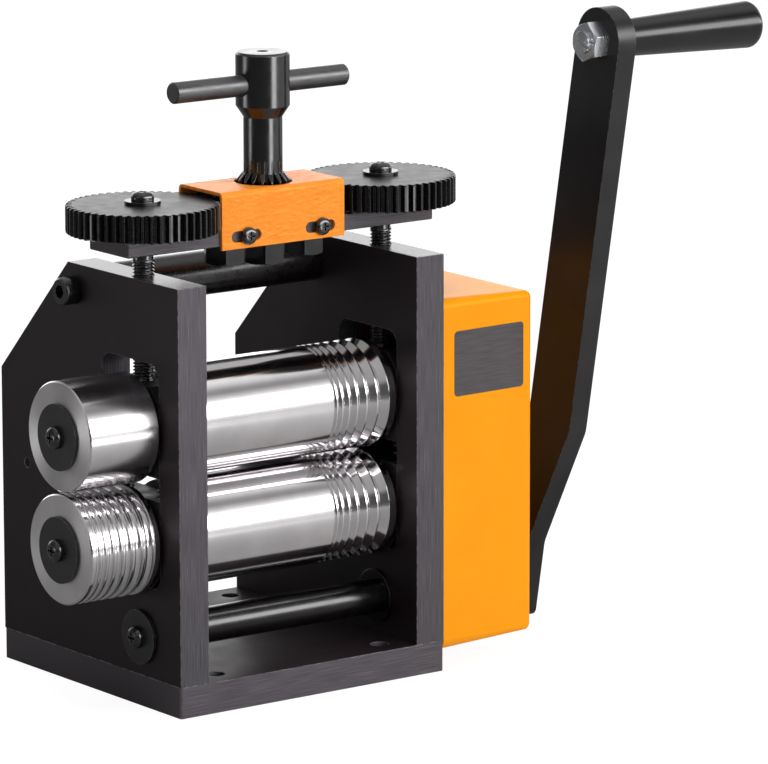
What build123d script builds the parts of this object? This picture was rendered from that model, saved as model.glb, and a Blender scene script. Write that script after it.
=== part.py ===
from build123d import *
import os
from math import acos, atan2, cos, degrees, pi, radians, sin, sqrt, tan

# Jewellers rolling mill. Millimetres, +Z up, +X from the side rollers toward the gear cover,
# -Y toward the user. The origin is the centre of the base plate's underside.

# ---------------------------------------------------------------- frame
frame_width = 144.0  # over the outer faces of the side plates
frame_depth = 140.0
frame_height = 191.0
base_thickness = 14.0
plate_thickness = 15.0
plate_corner_run = 55.0  # rear top corner cut off, measured along Y
plate_corner_drop = 56.0  # the same cut, measured down the rear edge
column_setback = 37.0  # rollers and adjusting screws behind the front edge
base_edge = 0.8

bench_spacing_x = 90.0
bench_spacing_y = 116.0
bench_hole_radius = 4.25
base_screw_radius = 3.0
base_screw_head_radius = 6.0
base_screw_depth = 14.0
base_screw_setbacks = (16.0, 76.0, 126.0)  # behind the front edge
head_recess = 0.4

tie_rod_radius = 10.0
tie_rod_setback = 80.0
tie_rod_drop = 12.0  # axis below the top of the plates
tie_screw_radius = 4.0
tie_screw_head_radius = 6.2
tie_screw_head_height = 8.0
tie_screw_grip = 18.0
tie_screw_socket = 6.0
screw_hole_clearance = 0.2

jig_hole_radius = 2.2
jig_hole_depth = 8.0
jig_hole_setback = 120.0
jig_hole_height = 94.0

# ---------------------------------------------------------------- rollers
roller_radius = 24.5
lower_axis_height = 74.5
rest_gap = 1.2
least_gap = 0.3
most_gap = 7.0
barrel_play = 1.6  # each end of the barrel to its side plate
flat_width = 76.0
wire_groove_count = 7
wire_groove_width = 1.6  # the narrowest V groove
wire_groove_growth = 0.75
wire_groove_land = 0.6

journal_radius = 13.0
seat_radius = 11.0  # where side rollers and gears are keyed on
shoulder_stand = 1.2  # journal shoulder outside the plate
side_roller_length = 36.2
round_groove_count = 7
round_groove_width = 2.2
round_groove_growth = 0.5
round_groove_land = 0.8
round_groove_start = 2.4
seat_shortfall = 0.4  # so that the end washer clamps the hub and not the shaft
roller_edge = 0.6

end_washer_radius = 14.8
end_washer_thickness = 1.5
end_screw_radius = 3.0
end_screw_head_radius = 5.0
end_screw_head_height = 3.6
end_screw_grip = 16.0

key_width = 6.0
key_inside = 3.5  # key below the shaft's surface
key_outside = 2.5
key_top_clearance = 0.1
side_key_length = 26.0
gear_key_length = 12.0

# ---------------------------------------------------------------- bearings
slot_width = 44.0
slot_headroom = 4.6  # over the upper block with the rollers fully open
slot_corner_radius = 6.5
block_height = 40.0
block_play = 0.1  # each side of a block in its slot
block_chamfer = 7.0
journal_play = 0.03
bush_radius = 16.0
bush_flange_radius = 18.4
bush_flange_thickness = 1.4
spring_offset = 15.0  # front and rear of the roller axis
spring_radius = 3.4
spring_wire_radius = 0.6
spring_turns = 6
spring_arcs_per_turn = 4  # pairs of arcs that each turn is built from
spring_pocket_radius = 3.9
spring_pocket_depth = 7.0
spring_end_gap = 0.15

# ---------------------------------------------------------------- roller gears and crank drive
pressure_angle = 20.0
roller_gear_teeth = 12
roller_gear_pitch_radius = roller_radius + least_gap / 2
roller_gear_addendum = 4.25  # long teeth, so that they stay in mesh over the whole opening
roller_gear_dedendum = 5.15
roller_gear_backlash = 0.3
roller_gear_width = 16.0

drive_module = 1.5
drive_gear_teeth = 42
drive_pinion_teeth = 16
drive_gear_width = 12.0
drive_gear_stand = 4.5  # hub between the roller gear and the drive gear's teeth
drive_hub_radius = 16.0
drive_backlash = 0.12
centre_slack = 0.06
pinion_overhang = 0.5

crank_forward = 6.5  # crank axis in front of the roller axis
crank_shaft_radius = 8.0
crank_shaft_play = 0.04
crank_bush_radius = 10.0
crank_bush_flange_radius = 12.2
crank_bush_flange_thickness = 1.5
crank_washer_radius = 12.2
crank_shaft_end_stand = 0.3
pinion_hub_radius = 12.0
pinion_hub_play = 0.4
crank_flat = 6.0  # flats on the shaft's end, from its axis
crank_key_width = 5.0
crank_key_inside = 3.0
crank_key_outside = 2.0
crank_collar_radius = 11.0
cover_hole_play = 1.0

# ---------------------------------------------------------------- crank and grip
crank_length = 255.0
crank_lean = 10.7  # degrees forward of upright, as it stands at rest
arm_width = 30.0
arm_thickness = 10.0
arm_foot = 17.5  # square lower end below the shaft's axis
arm_foot_corner = 4.0
arm_joggle = 16.1  # outward step of the arm
arm_joggle_start = 21.5
arm_joggle_end = 73.0
arm_bend_radius = 14.0
arm_edge = 0.8
arm_cover_gap = 5.2
arm_bolt_radius = 4.0
arm_bolt_head_flats = 13.0
arm_bolt_head_height = 5.3
arm_bolt_grip = 18.0
arm_washer_radius = 11.0
arm_washer_thickness = 2.0

grip_length = 79.0
grip_near_radius = 8.25
grip_far_radius = 10.9
grip_end_round = 4.0
grip_gap = 0.5
grip_bolt_radius = 5.0
grip_bolt_head_radius = 8.0
grip_bolt_head_height = 6.0
grip_bolt_head_sink = 10.0
grip_bore_play = 0.1
grip_nut_flats = 16.0
grip_nut_height = 8.0
grip_bolt_proud = 1.5
washer_fit = 0.2

# ---------------------------------------------------------------- gear cover
cover_depth = 52.2
cover_length = 74.0
cover_low = 9.2
cover_high = 170.0
cover_wall = 2.0
cover_draft = 2.0  # degrees
cover_corner_radius = 4.5
cover_edge_radius = 3.5
cover_boss_radius = 6.0
cover_boss_inset = 8.6
cover_boss_top_inset = 10.0
cover_screw_radius = 2.0
cover_screw_depth = 12.0  # blind holes in the side plate
cover_screw_head_radius = 3.9
cover_screw_head_height = 2.6
cover_screw_sink = 4.0  # seats of the heads below the cover's face
cover_head_play = 0.4

# ---------------------------------------------------------------- adjusting screws and their gears
screw_radius = 4.95
screw_play = 0.06
screw_collar_radius = 4.5
screw_thread_stand = 7.4  # thread's upper end above the side plate
screw_spindle_radius = 3.75
screw_gear_seat_radius = 3.3
screw_gear_flat = 2.6
screw_tip_gap = 0.1
running_play = 0.05

bar_stand = 11.4  # underside of the bridge bar above the side plates
bar_length = 165.0
bar_width = 30.0
bar_thickness = 7.5
bar_edge = 0.4
gear_stand = 0.6
train_gear_width = 12.3
handle_teeth = 17
idler_teeth = 17
screw_gear_teeth = 52
train_backlash = 0.15
screw_gear_edge = 0.6
gear_washer_radius = 8.0
gear_washer_thickness = 1.5
gear_screw_radius = 2.0
gear_screw_head_radius = 4.8
gear_screw_head_height = 3.4
gear_screw_grip = 9.0

idler_pin_radius = 5.0
hexagon_flats = 17.0
hexagon_height = 10.6
pinion_nut_height = 12.2
hexagon_chamfer = 0.8
pin_proud = 1.6
clip_thickness = 1.0
clip_radius = 7.5
clip_gap = 0.1

# ---------------------------------------------------------------- T-handle
handle_journal_radius = 6.0
handle_stub_radius = 5.0
handle_nut_gap = 0.2
handle_neck_radius = 8.65
teeth_height = 16.6  # full teeth above their lower face
teeth_shoulder = 3.2  # height over which their tips are turned down
teeth_shoulder_radius = 9.4
handle_root_radius = 8.05
cutter_run_out = 6.0  # grooves between the teeth run out in the neck over this height
neck_top = 44.7  # above the lower face of the teeth
head_cone_height = 5.0
head_radius = 12.0
head_top = 73.5
head_edge = 1.0
tommy_radius = 4.75
tommy_length = 93.0
tommy_shift = -2.0
tommy_height = 59.2
tommy_edge = 0.7
tommy_hole_play = 0.05
grub_screw_radius = 2.5
grub_screw_length = 6.0

# ---------------------------------------------------------------- gear guard
guard_sheet = 1.5
guard_length = 66.2
guard_shift = -0.8
guard_headroom = 2.0
guard_drop = 1.6  # flanges reach this far below the bar
guard_bend_radius = 2.4
guard_hole_play = 1.0
guard_slot_length = 16.0
guard_slot_width = 5.0
guard_screw_spacing = 40.0
guard_screw_radius = 2.0
guard_screw_head_radius = 3.9
guard_screw_head_height = 2.6
guard_screw_grip = 9.0

# ---------------------------------------------------------------- places worked out from the sizes above
plate_outer = frame_width / 2
plate_inner = plate_outer - plate_thickness
plate_middle = plate_outer - plate_thickness / 2
front = -frame_depth / 2
rear = frame_depth / 2
axis_y = front + column_setback
rest_centres = 2 * roller_radius + rest_gap
upper_axis_height = lower_axis_height + rest_centres
lift_above_rest = most_gap - rest_gap
slot_bottom = lower_axis_height - block_height / 2
slot_top = upper_axis_height + block_height / 2 + lift_above_rest + slot_headroom
barrel_end = plate_inner - barrel_play
shoulder = plate_outer + shoulder_stand
side_roller_end = shoulder + side_roller_length
roller_gear_end = shoulder + roller_gear_width
drive_gear_start = roller_gear_end + drive_gear_stand
drive_gear_end = drive_gear_start + drive_gear_width

drive_centres = drive_module * (drive_gear_teeth + drive_pinion_teeth) / 2 + centre_slack
crank_y = axis_y - crank_forward
crank_z = lower_axis_height - sqrt(drive_centres**2 - crank_forward**2)
crank_mesh_angle = degrees(atan2(crank_y - axis_y, lower_axis_height - crank_z))

cover_outer = plate_outer + cover_depth
arm_inner = cover_outer + arm_cover_gap
arm_outer = arm_inner + arm_thickness
grip_side = arm_outer + arm_joggle

screw_spacing = 2 * plate_middle
bar_bottom = frame_height + bar_stand
bar_top = bar_bottom + bar_thickness
gear_bottom = bar_top + gear_stand
gear_top = gear_bottom + train_gear_width
train_modules_across = handle_teeth / 2 + idler_teeth + screw_gear_teeth / 2
train_module = (plate_middle - 2 * centre_slack) / train_modules_across
idler_x = train_module * (handle_teeth + idler_teeth) / 2 + centre_slack
hexagon_bottom = bar_bottom - hexagon_height
nut_bottom = bar_bottom - handle_nut_gap - pinion_nut_height
guard_top = gear_top + guard_headroom + guard_sheet
guard_bottom = bar_bottom - guard_drop


# ---------------------------------------------------------------- shared shapes
def x_bar(radius, start, end, y, z):
    """Round bar along X from start to end."""
    return Pos((start + end) / 2, y, z) * Rot(0, 90, 0) * Cylinder(radius, abs(end - start))


def z_bar(radius, start, end, x, y):
    """Upright round bar from height start to height end."""
    return Pos(x, y, (start + end) / 2) * Cylinder(radius, abs(end - start))


def y_bar(radius, start, end, x, z):
    """Round bar along Y from start to end."""
    return Pos(x, (start + end) / 2, z) * Rot(90, 0, 0) * Cylinder(radius, abs(end - start))


def block_between(low, high):
    """Rectangular block between two opposite corners."""
    size = [high[i] - low[i] for i in range(3)]
    middle = [(high[i] + low[i]) / 2 for i in range(3)]
    return Pos(*middle) * Box(*size)


def turned(outline):
    """Turned solid about the X axis; outline lists (distance along the axis, radius) from end to end."""
    first, last = outline[0][0], outline[-1][0]
    profile = make_face(Polyline((first, 0), *outline, (last, 0), close=True))
    return revolve(profile, Axis.X)


def turned_upright(outline, x, y):
    """The same, standing on its axis: outline lists (height, radius)."""
    return Pos(x, y, 0) * Rot(0, -90, 0) * turned(outline)


def hexagon_prism(flats, height):
    """Upright hexagon from height 0, with the rim of one face turned off at an angle."""
    corner = flats / sqrt(3)
    prism = extrude(RegularPolygon(corner, 6), height)
    rim = corner - 1.7 * hexagon_chamfer
    cone = turned_upright([(0, corner), (height - hexagon_chamfer, corner), (height, rim)], 0, 0)
    return prism & cone


def screw(radius, grip, head_radius, head_height):
    """Pan head screw along +X: the head's underside at 0, the shank toward -X."""
    step = 0.35 * head_height
    return turned([(-grip, radius), (0, radius), (0, head_radius), (head_height - step, head_radius),
                   (head_height, head_radius - 2 * step)])


def disc(radius, hole_radius, start, end, y, z):
    """Flat washer along X."""
    return x_bar(radius, start, end, y, z) - x_bar(hole_radius, start, end, y, z)


def gear_outline(teeth, pitch_radius, tip_radius, root_radius, backlash, phase):
    """Spur gear outline about the origin with a tooth centred at phase degrees.

    Each flank is an arc through three points of the involute; below the base circle it runs straight
    in to the root. Backlash is taken off the tooth's thickness at the pitch circle.
    """
    base_radius = pitch_radius * cos(radians(pressure_angle))
    flank_start = max(base_radius, root_radius)
    half_pitch_tooth = pi / (2 * teeth) - backlash / (2 * pitch_radius)

    def involute(angle):
        return tan(angle) - angle

    def half_angle(radius):
        return half_pitch_tooth + involute(radians(pressure_angle)) - involute(acos(base_radius / radius))

    def point(radius, angle):
        return (radius * cos(angle), radius * sin(angle))

    flank_middle = (flank_start + tip_radius) / 2
    edges = []
    starts = []
    ends = []
    for number in range(teeth):
        centre = radians(phase) + 2 * pi * number / teeth
        low, middle, high = half_angle(flank_start), half_angle(flank_middle), half_angle(tip_radius)
        root_in, root_out = point(root_radius, centre - low), point(root_radius, centre + low)
        if flank_start > root_radius:
            edges.append(Line(root_in, point(flank_start, centre - low)))
            edges.append(Line(point(flank_start, centre + low), root_out))
        flank = [(flank_start, low), (flank_middle, middle), (tip_radius, high)]
        rise = [point(radius, centre - half) for radius, half in flank]
        fall = [point(radius, centre + half) for radius, half in reversed(flank)]
        edges.append(ThreePointArc(*rise))
        edges.append(Line(rise[-1], fall[0]))
        edges.append(ThreePointArc(*fall))
        starts.append(root_in)
        ends.append(root_out)
    for number in range(teeth):
        edges.append(Line(ends[number], starts[(number + 1) % teeth]))
    return make_face(edges)


def module_gear(teeth, module, width, backlash, phase):
    """Standard spur gear standing on the XY plane."""
    pitch_radius = teeth * module / 2
    tip, root = pitch_radius + module, pitch_radius - 1.25 * module
    return extrude(gear_outline(teeth, pitch_radius, tip, root, backlash, phase), width)


def along_x(solid, start, y, z):
    """Lay an upright solid down along X, its foot at start; its -X side then points up."""
    return Pos(start, y, z) * Rot(0, 90, 0) * solid


def key(start, end, y, z, extra=0.0):
    """Parallel key on top of a shaft, and with extra the room that a hub gives it."""
    low = (start, y - key_width / 2, z + seat_radius - key_inside)
    high = (end, y + key_width / 2, z + seat_radius + key_outside + extra)
    return block_between(low, high)


def crank_key(start, end, extra=0.0):
    low = (start, crank_y - crank_key_width / 2, crank_z + crank_shaft_radius - crank_key_inside)
    high = (end, crank_y + crank_key_width / 2, crank_z + crank_shaft_radius + crank_key_outside + extra)
    return block_between(low, high)


# ---------------------------------------------------------------- frame
def bench_hole_places():
    return [(sx * bench_spacing_x / 2, sy * bench_spacing_y / 2) for sx in (-1, 1) for sy in (-1, 1)]


def base_screw_places():
    return [(side * plate_middle, front + setback) for side in (-1, 1) for setback in base_screw_setbacks]


def base_screw(x, y, radius=base_screw_radius):
    """Countersunk screw from below; its head sits just inside the underside."""
    head_rise = base_screw_head_radius - base_screw_radius
    outline = [(head_recess, base_screw_head_radius), (head_recess + head_rise, radius),
               (base_thickness + base_screw_depth, radius)]
    return turned_upright(outline, x, y)


def base_plate():
    base = block_between((-plate_outer, front, 0), (plate_outer, rear, base_thickness))
    base = chamfer(base.edges().filter_by(Axis.Z), base_edge)
    for x, y in bench_hole_places():
        base -= z_bar(bench_hole_radius, 0, base_thickness, x, y)
    for x, y in base_screw_places():
        base -= base_screw(x, y)
        base -= z_bar(base_screw_head_radius, 0, head_recess, x, y)
    return base


def base_screws():
    return [base_screw(x, y) for x, y in base_screw_places()]


def slot_outline():
    """Bearing slot in a side plate, drawn in Y and Z."""
    slot = Rectangle(slot_width, slot_top - slot_bottom)
    slot = fillet(slot.vertices(), slot_corner_radius)
    return Pos(axis_y, (slot_top + slot_bottom) / 2) * slot


def cover_screw_places():
    ys = (front + cover_boss_inset, front + cover_length - cover_boss_inset)
    zs = (cover_low + cover_boss_top_inset, cover_high - cover_boss_top_inset)
    return [(y, z) for y in ys for z in zs]


def side_plate(side):
    """side is -1 for the left plate and 1 for the right one."""
    corners = [(front, base_thickness), (rear, base_thickness), (rear, frame_height - plate_corner_drop),
               (rear - plate_corner_run, frame_height), (front, frame_height)]
    outline = make_face(Polyline(*corners, close=True)) - slot_outline()
    start = plate_inner if side > 0 else -plate_outer
    plate = Plane.YZ.offset(start) * extrude(outline, plate_thickness)
    middle = side * plate_middle
    inner, outer = side * plate_inner, side * plate_outer
    plate -= z_bar(screw_radius + screw_play, slot_top, frame_height, middle, axis_y)
    plate -= x_bar(crank_bush_radius, inner, outer, crank_y, crank_z)
    tie_y, tie_z = front + tie_rod_setback, frame_height - tie_rod_drop
    plate -= x_bar(tie_screw_radius + screw_hole_clearance, inner, outer, tie_y, tie_z)
    screw_end = base_thickness + base_screw_depth
    for setback in base_screw_setbacks:
        plate -= z_bar(base_screw_radius, base_thickness, screw_end, middle, front + setback)
    if side > 0:
        for y, z in cover_screw_places():
            plate -= x_bar(cover_screw_radius, outer - cover_screw_depth, outer, y, z)
    else:
        hole_y = front + jig_hole_setback
        plate -= x_bar(jig_hole_radius, -plate_outer, -plate_outer + jig_hole_depth, hole_y, jig_hole_height)
    return plate


def tie_rod():
    y, z = front + tie_rod_setback, frame_height - tie_rod_drop
    rod = x_bar(tie_rod_radius, -plate_inner, plate_inner, y, z)
    for side in (-1, 1):
        hole_end = side * (plate_outer - tie_screw_grip - plate_thickness)
        rod -= x_bar(tie_screw_radius, side * plate_inner, hole_end, y, z)
    return rod


def tie_rod_screws():
    """Socket head screws, one through each side plate into the rod's end."""
    height = tie_screw_head_height
    head = Pos(0, 0, height / 2) * Cylinder(tie_screw_head_radius, height)
    head = chamfer(head.edges().group_by(Axis.Z)[-1], 0.6)
    socket_corner = tie_screw_socket / sqrt(3)
    socket = Pos(0, 0, height / 2) * extrude(RegularPolygon(socket_corner, 6), height)
    shank_length = plate_thickness + tie_screw_grip
    shank = Pos(0, 0, -shank_length / 2) * Cylinder(tie_screw_radius, shank_length)
    one = head - socket + shank
    y, z = front + tie_rod_setback, frame_height - tie_rod_drop
    return [Pos(side * plate_outer, y, z) * Rot(0, 90 * side, 0) * one for side in (-1, 1)]


# ---------------------------------------------------------------- bearings
def spring_places():
    return [(side * plate_middle, axis_y + end * spring_offset) for side in (-1, 1) for end in (-1, 1)]


def bearing_block(side, axis_height, upper):
    """Block that slides in a plate's slot; upper blocks have their pockets below, lower ones above."""
    half_width = slot_width / 2 - block_play
    low = (side * plate_middle - plate_thickness / 2, axis_y - half_width, axis_height - block_height / 2)
    high = (side * plate_middle + plate_thickness / 2, axis_y + half_width, axis_height + block_height / 2)
    block = block_between(low, high)
    far_edges = block.edges().filter_by(Axis.X).group_by(Axis.Z)[-1 if upper else 0]
    block = chamfer(far_edges, block_chamfer)
    block -= x_bar(bush_radius, side * plate_inner, side * plate_outer, axis_y, axis_height)
    face = low[2] if upper else high[2]
    into = spring_pocket_depth if upper else -spring_pocket_depth
    for end in (-1, 1):
        pocket_y = axis_y + end * spring_offset
        block -= z_bar(spring_pocket_radius, face, face + into, side * plate_middle, pocket_y)
    return block


def journal_bushes(axis_height):
    """Flanged bushes; the flange stands inside the plate and takes the barrel's side thrust."""
    face = plate_inner - bush_flange_thickness
    bore_radius = journal_radius + journal_play
    bushes = []
    for side in (-1, 1):
        body = x_bar(bush_radius, side * plate_inner, side * plate_outer, axis_y, axis_height)
        flange = x_bar(bush_flange_radius, side * face, side * plate_inner, axis_y, axis_height)
        bore = x_bar(bore_radius, side * face, side * plate_outer, axis_y, axis_height)
        bushes.append(body + flange - bore)
    return bushes


def crank_shaft_bushes():
    face = plate_inner - crank_bush_flange_thickness
    bore_radius = crank_shaft_radius + crank_shaft_play
    bushes = []
    for side in (-1, 1):
        body = x_bar(crank_bush_radius, side * plate_inner, side * plate_outer, crank_y, crank_z)
        flange = x_bar(crank_bush_flange_radius, side * face, side * plate_inner, crank_y, crank_z)
        bore = x_bar(bore_radius, side * face, side * plate_outer, crank_y, crank_z)
        bushes.append(body + flange - bore)
    return bushes


def coil_path(radius, height, turns):
    """Rising coil made of pairs of arcs that run on smoothly, each pair a fraction of a turn."""
    count = turns * spring_arcs_per_turn
    rise = height / (2 * pi * turns)
    points, directions = [], []
    for number in range(count + 1):
        angle = 2 * pi * turns * number / count
        points.append(Vector(radius * cos(angle), radius * sin(angle), rise * angle))
        directions.append(Vector(-radius * sin(angle), radius * cos(angle), rise).normalized())
    edges = []
    for number in range(count):
        start, end = points[number], points[number + 1]
        leaving, arriving = directions[number], directions[number + 1]
        chord = end - start
        both = leaving + arriving
        spread = 2 * (1 - leaving.dot(arriving))
        reach = (-chord.dot(both) + sqrt(chord.dot(both) ** 2 + spread * chord.dot(chord))) / spread
        join = (start + leaving * reach + end - arriving * reach) * 0.5
        turn = (end - arriving * reach) - (start + leaving * reach)
        edges.append(TangentArc(start, join, tangent=leaving))
        edges.append(TangentArc(join, end, tangent=turn))
    return Wire(edges)


def lift_springs():
    """Coil springs that hold the upper blocks up against the adjusting screws."""
    low = lower_axis_height + block_height / 2 - spring_pocket_depth + spring_end_gap
    high = upper_axis_height - block_height / 2 + spring_pocket_depth - spring_end_gap
    height = high - low - 2 * spring_wire_radius
    path = coil_path(spring_radius - spring_wire_radius, height, spring_turns)
    section = Plane(path @ 0, z_dir=path % 0) * Circle(spring_wire_radius)
    coil = sweep(section, path=path)
    gap = height / spring_turns - 2 * spring_wire_radius
    print("lift spring: least gap between turns", round(gap, 2), "mm")
    return [Pos(x, y, low + spring_wire_radius) * coil for x, y in spring_places()]


# ---------------------------------------------------------------- rollers
def wire_groove_places():
    """(position along X, width) of each V groove on the barrel."""
    places = []
    edge = -barrel_end + flat_width
    for number in range(wire_groove_count):
        width = wire_groove_width + number * wire_groove_growth
        places.append((edge + width / 2, width))
        edge += width + wire_groove_land
    return places


def round_groove_places():
    """(position along X, width) of each half-round groove, from the outer end inward."""
    places = []
    edge = -side_roller_end + round_groove_start
    for number in range(round_groove_count):
        width = round_groove_width + number * round_groove_growth
        places.append((edge + width / 2, width))
        edge += width + round_groove_land
    return places


def roller(axis_height, right_end):
    """Roller in one piece with its journals and the seats for the side roller and the gears."""
    left_seat_end = -side_roller_end + seat_shortfall
    right_seat_end = right_end - seat_shortfall
    outline = [(left_seat_end, seat_radius), (-shoulder, seat_radius), (-shoulder, journal_radius),
               (-barrel_end, journal_radius), (-barrel_end, roller_radius - roller_edge),
               (-barrel_end + roller_edge, roller_radius), (-barrel_end + flat_width, roller_radius)]
    for position, width in wire_groove_places():
        outline += [(position - width / 2, roller_radius), (position, roller_radius - width / 2),
                    (position + width / 2, roller_radius)]
    outline += [(barrel_end - roller_edge, roller_radius), (barrel_end, roller_radius - roller_edge),
                (barrel_end, journal_radius), (shoulder, journal_radius), (shoulder, seat_radius),
                (right_seat_end, seat_radius)]
    outline = [p for n, p in enumerate(outline) if n == 0 or p != outline[n - 1]]
    body = Pos(0, axis_y, axis_height) * turned(outline)
    body -= x_bar(end_screw_radius, left_seat_end, left_seat_end + end_screw_grip, axis_y, axis_height)
    body -= x_bar(end_screw_radius, right_seat_end - end_screw_grip, right_seat_end, axis_y, axis_height)
    for solid in roller_keys(axis_height, right_end):
        body -= solid
    return body


def roller_keys(axis_height, right_end):
    """One key under the side roller and one under the gears."""
    side_start = -shoulder - (side_roller_length + side_key_length) / 2
    side_key = key(side_start, side_start + side_key_length, axis_y, axis_height)
    margin = (roller_gear_width - gear_key_length) / 2
    gear_key = key(shoulder + margin, right_end - margin, axis_y, axis_height)
    return [side_key, gear_key]


def keyway(start, end, axis_height):
    return key(start, end, axis_y, axis_height, key_top_clearance)


def side_roller(axis_height, grooved):
    """Short roller keyed on outside the left plate; the lower one is cut for half-round wire."""
    inner, outer = -shoulder, -side_roller_end
    outline = [(outer, roller_radius - roller_edge), (outer + roller_edge, roller_radius),
               (inner - roller_edge, roller_radius), (inner, roller_radius - roller_edge)]
    profile = make_face(Polyline((outer, 0), *outline, (inner, 0), close=True))
    if grooved:
        for position, width in round_groove_places():
            profile -= Pos(position, roller_radius) * Circle(width / 2)
    body = Pos(0, axis_y, axis_height) * revolve(profile, Axis.X)
    body -= x_bar(seat_radius, outer, inner, axis_y, axis_height)
    body -= keyway(outer, inner, axis_height)
    return body


def end_washers(axis_height, right_end):
    """Disc washers that hold the side roller at the left and the gears at the right."""
    washers = []
    for start in (-side_roller_end - end_washer_thickness, right_end):
        end = start + end_washer_thickness
        washers.append(disc(end_washer_radius, end_screw_radius, start, end, axis_y, axis_height))
    return washers


def end_screws(axis_height, right_end):
    grip = end_washer_thickness + end_screw_grip - seat_shortfall
    one = screw(end_screw_radius, grip, end_screw_head_radius, end_screw_head_height)
    left = Pos(-side_roller_end - end_washer_thickness, axis_y, axis_height) * Rot(0, 180, 0) * one
    right = Pos(right_end + end_washer_thickness, axis_y, axis_height) * one
    return [left, right]


def roller_gear(axis_height, phase):
    tip = roller_gear_pitch_radius + roller_gear_addendum
    root = roller_gear_pitch_radius - roller_gear_dedendum
    pitch = roller_gear_pitch_radius
    outline = gear_outline(roller_gear_teeth, pitch, tip, root, roller_gear_backlash, phase)
    gear = along_x(extrude(outline, roller_gear_width), shoulder, axis_y, axis_height)
    gear -= x_bar(seat_radius, shoulder, roller_gear_end, axis_y, axis_height)
    gear -= keyway(shoulder, roller_gear_end, axis_height)
    return gear


def drive_gear():
    """Large gear on the lower roller, with a space of its teeth facing the crank's pinion."""
    phase = crank_mesh_angle + 180 / drive_gear_teeth
    teeth = module_gear(drive_gear_teeth, drive_module, drive_gear_width, drive_backlash, phase)
    gear = along_x(teeth, drive_gear_start, axis_y, lower_axis_height)
    gear += x_bar(drive_hub_radius, roller_gear_end, drive_gear_start, axis_y, lower_axis_height)
    gear -= x_bar(seat_radius, roller_gear_end, drive_gear_end, axis_y, lower_axis_height)
    gear -= keyway(roller_gear_end, drive_gear_end, lower_axis_height)
    return gear


# ---------------------------------------------------------------- crank
def crank_pinion():
    """Pinion with a long hub that runs against the right plate; a tooth faces the drive gear."""
    start = drive_gear_start - pinion_overhang
    width = drive_gear_width + 2 * pinion_overhang
    teeth = module_gear(drive_pinion_teeth, drive_module, width, drive_backlash, crank_mesh_angle + 180)
    pinion = along_x(teeth, start, crank_y, crank_z)
    hub_start = plate_outer + pinion_hub_play
    pinion += x_bar(pinion_hub_radius, hub_start, start, crank_y, crank_z)
    pinion -= x_bar(crank_shaft_radius, hub_start, start + width, crank_y, crank_z)
    pinion -= crank_key(hub_start, start + width, key_top_clearance)
    return pinion


def pinion_key():
    margin = 2 * pinion_overhang
    return crank_key(drive_gear_start - margin, drive_gear_end - margin)


def crank_shaft():
    left_end = -plate_outer - crank_shaft_end_stand
    right_end = arm_outer - seat_shortfall
    collar_start = cover_outer + cover_hole_play
    outline = [(left_end, crank_shaft_radius), (collar_start, crank_shaft_radius),
               (collar_start, crank_collar_radius), (arm_inner, crank_collar_radius),
               (arm_inner, crank_shaft_radius), (right_end, crank_shaft_radius)]
    shaft = Pos(0, crank_y, crank_z) * turned(outline)
    shaft -= x_bar(end_screw_radius, left_end, left_end + end_screw_grip, crank_y, crank_z)
    shaft -= x_bar(arm_bolt_radius, right_end - arm_bolt_grip, right_end, crank_y, crank_z)
    shaft -= pinion_key()
    seat = Box(2 * arm_thickness, 4 * crank_shaft_radius, 2 * crank_shaft_radius)
    for way in (-1, 1):
        off = crank_flat + crank_shaft_radius
        shaft -= leaned(Pos(arm_inner + arm_thickness, 0, way * off) * seat)
    return shaft


def leaned(solid):
    """Carry a solid modelled on an upright crank with its axis at Y 0, Z 0 to its place at rest."""
    return Pos(0, crank_y, crank_z) * Rot(crank_lean, 0, 0) * solid


def crank_shaft_washer():
    outer = -plate_outer - crank_shaft_end_stand
    return disc(crank_washer_radius, end_screw_radius, outer - end_washer_thickness, outer, crank_y, crank_z)


def crank_shaft_screw():
    grip = end_washer_thickness + end_screw_grip
    one = screw(end_screw_radius, grip, end_screw_head_radius, end_screw_head_height)
    head_at = -plate_outer - crank_shaft_end_stand - end_washer_thickness
    return Pos(head_at, crank_y, crank_z) * Rot(0, 180, 0) * one


def crank_arm():
    """Flat bar with a round top, a square foot and a joggle that carries the grip clear of the cover."""
    half = arm_width / 2
    foot, top = -arm_foot, crank_length + half
    slope = atan2(arm_joggle, arm_joggle_end - arm_joggle_start)
    mitre = arm_thickness * tan(slope / 2)
    near, far = arm_inner, arm_inner + arm_joggle
    corners = [(near, foot), (near, arm_joggle_start), (far, arm_joggle_end), (far, top),
               (far + arm_thickness, top), (far + arm_thickness, arm_joggle_end - mitre),
               (near + arm_thickness, arm_joggle_start - mitre), (near + arm_thickness, foot)]
    profile = make_face(Polyline(*corners, close=True))
    profile = fillet(profile.vertices().sort_by(Axis.Y)[2:6], arm_bend_radius)
    bar = Plane.XZ.offset(-half) * extrude(profile, arm_width)
    side_view = Pos(0, (crank_length - arm_foot) / 2) * Rectangle(arm_width, crank_length + arm_foot)
    side_view = fillet(side_view.vertices().group_by(Axis.Y)[0], arm_foot_corner)
    side_view += Pos(0, crank_length) * Circle(half)
    envelope = extrude(Plane.YZ * side_view, arm_outer + arm_joggle + arm_thickness)
    arm = bar & envelope
    arm -= x_bar(grip_bolt_radius, arm_inner, grip_side, 0, crank_length)
    seat = x_bar(crank_shaft_radius, arm_inner, arm_outer, 0, 0)
    wide = 4 * crank_shaft_radius
    seat &= Pos((arm_inner + arm_outer) / 2, 0, 0) * Box(arm_thickness, wide, 2 * crank_flat)
    return leaned(arm - seat)


def crank_arm_washer():
    end = arm_outer + arm_washer_thickness
    return disc(arm_washer_radius, arm_bolt_radius + washer_fit, arm_outer, end, crank_y, crank_z)


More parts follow.
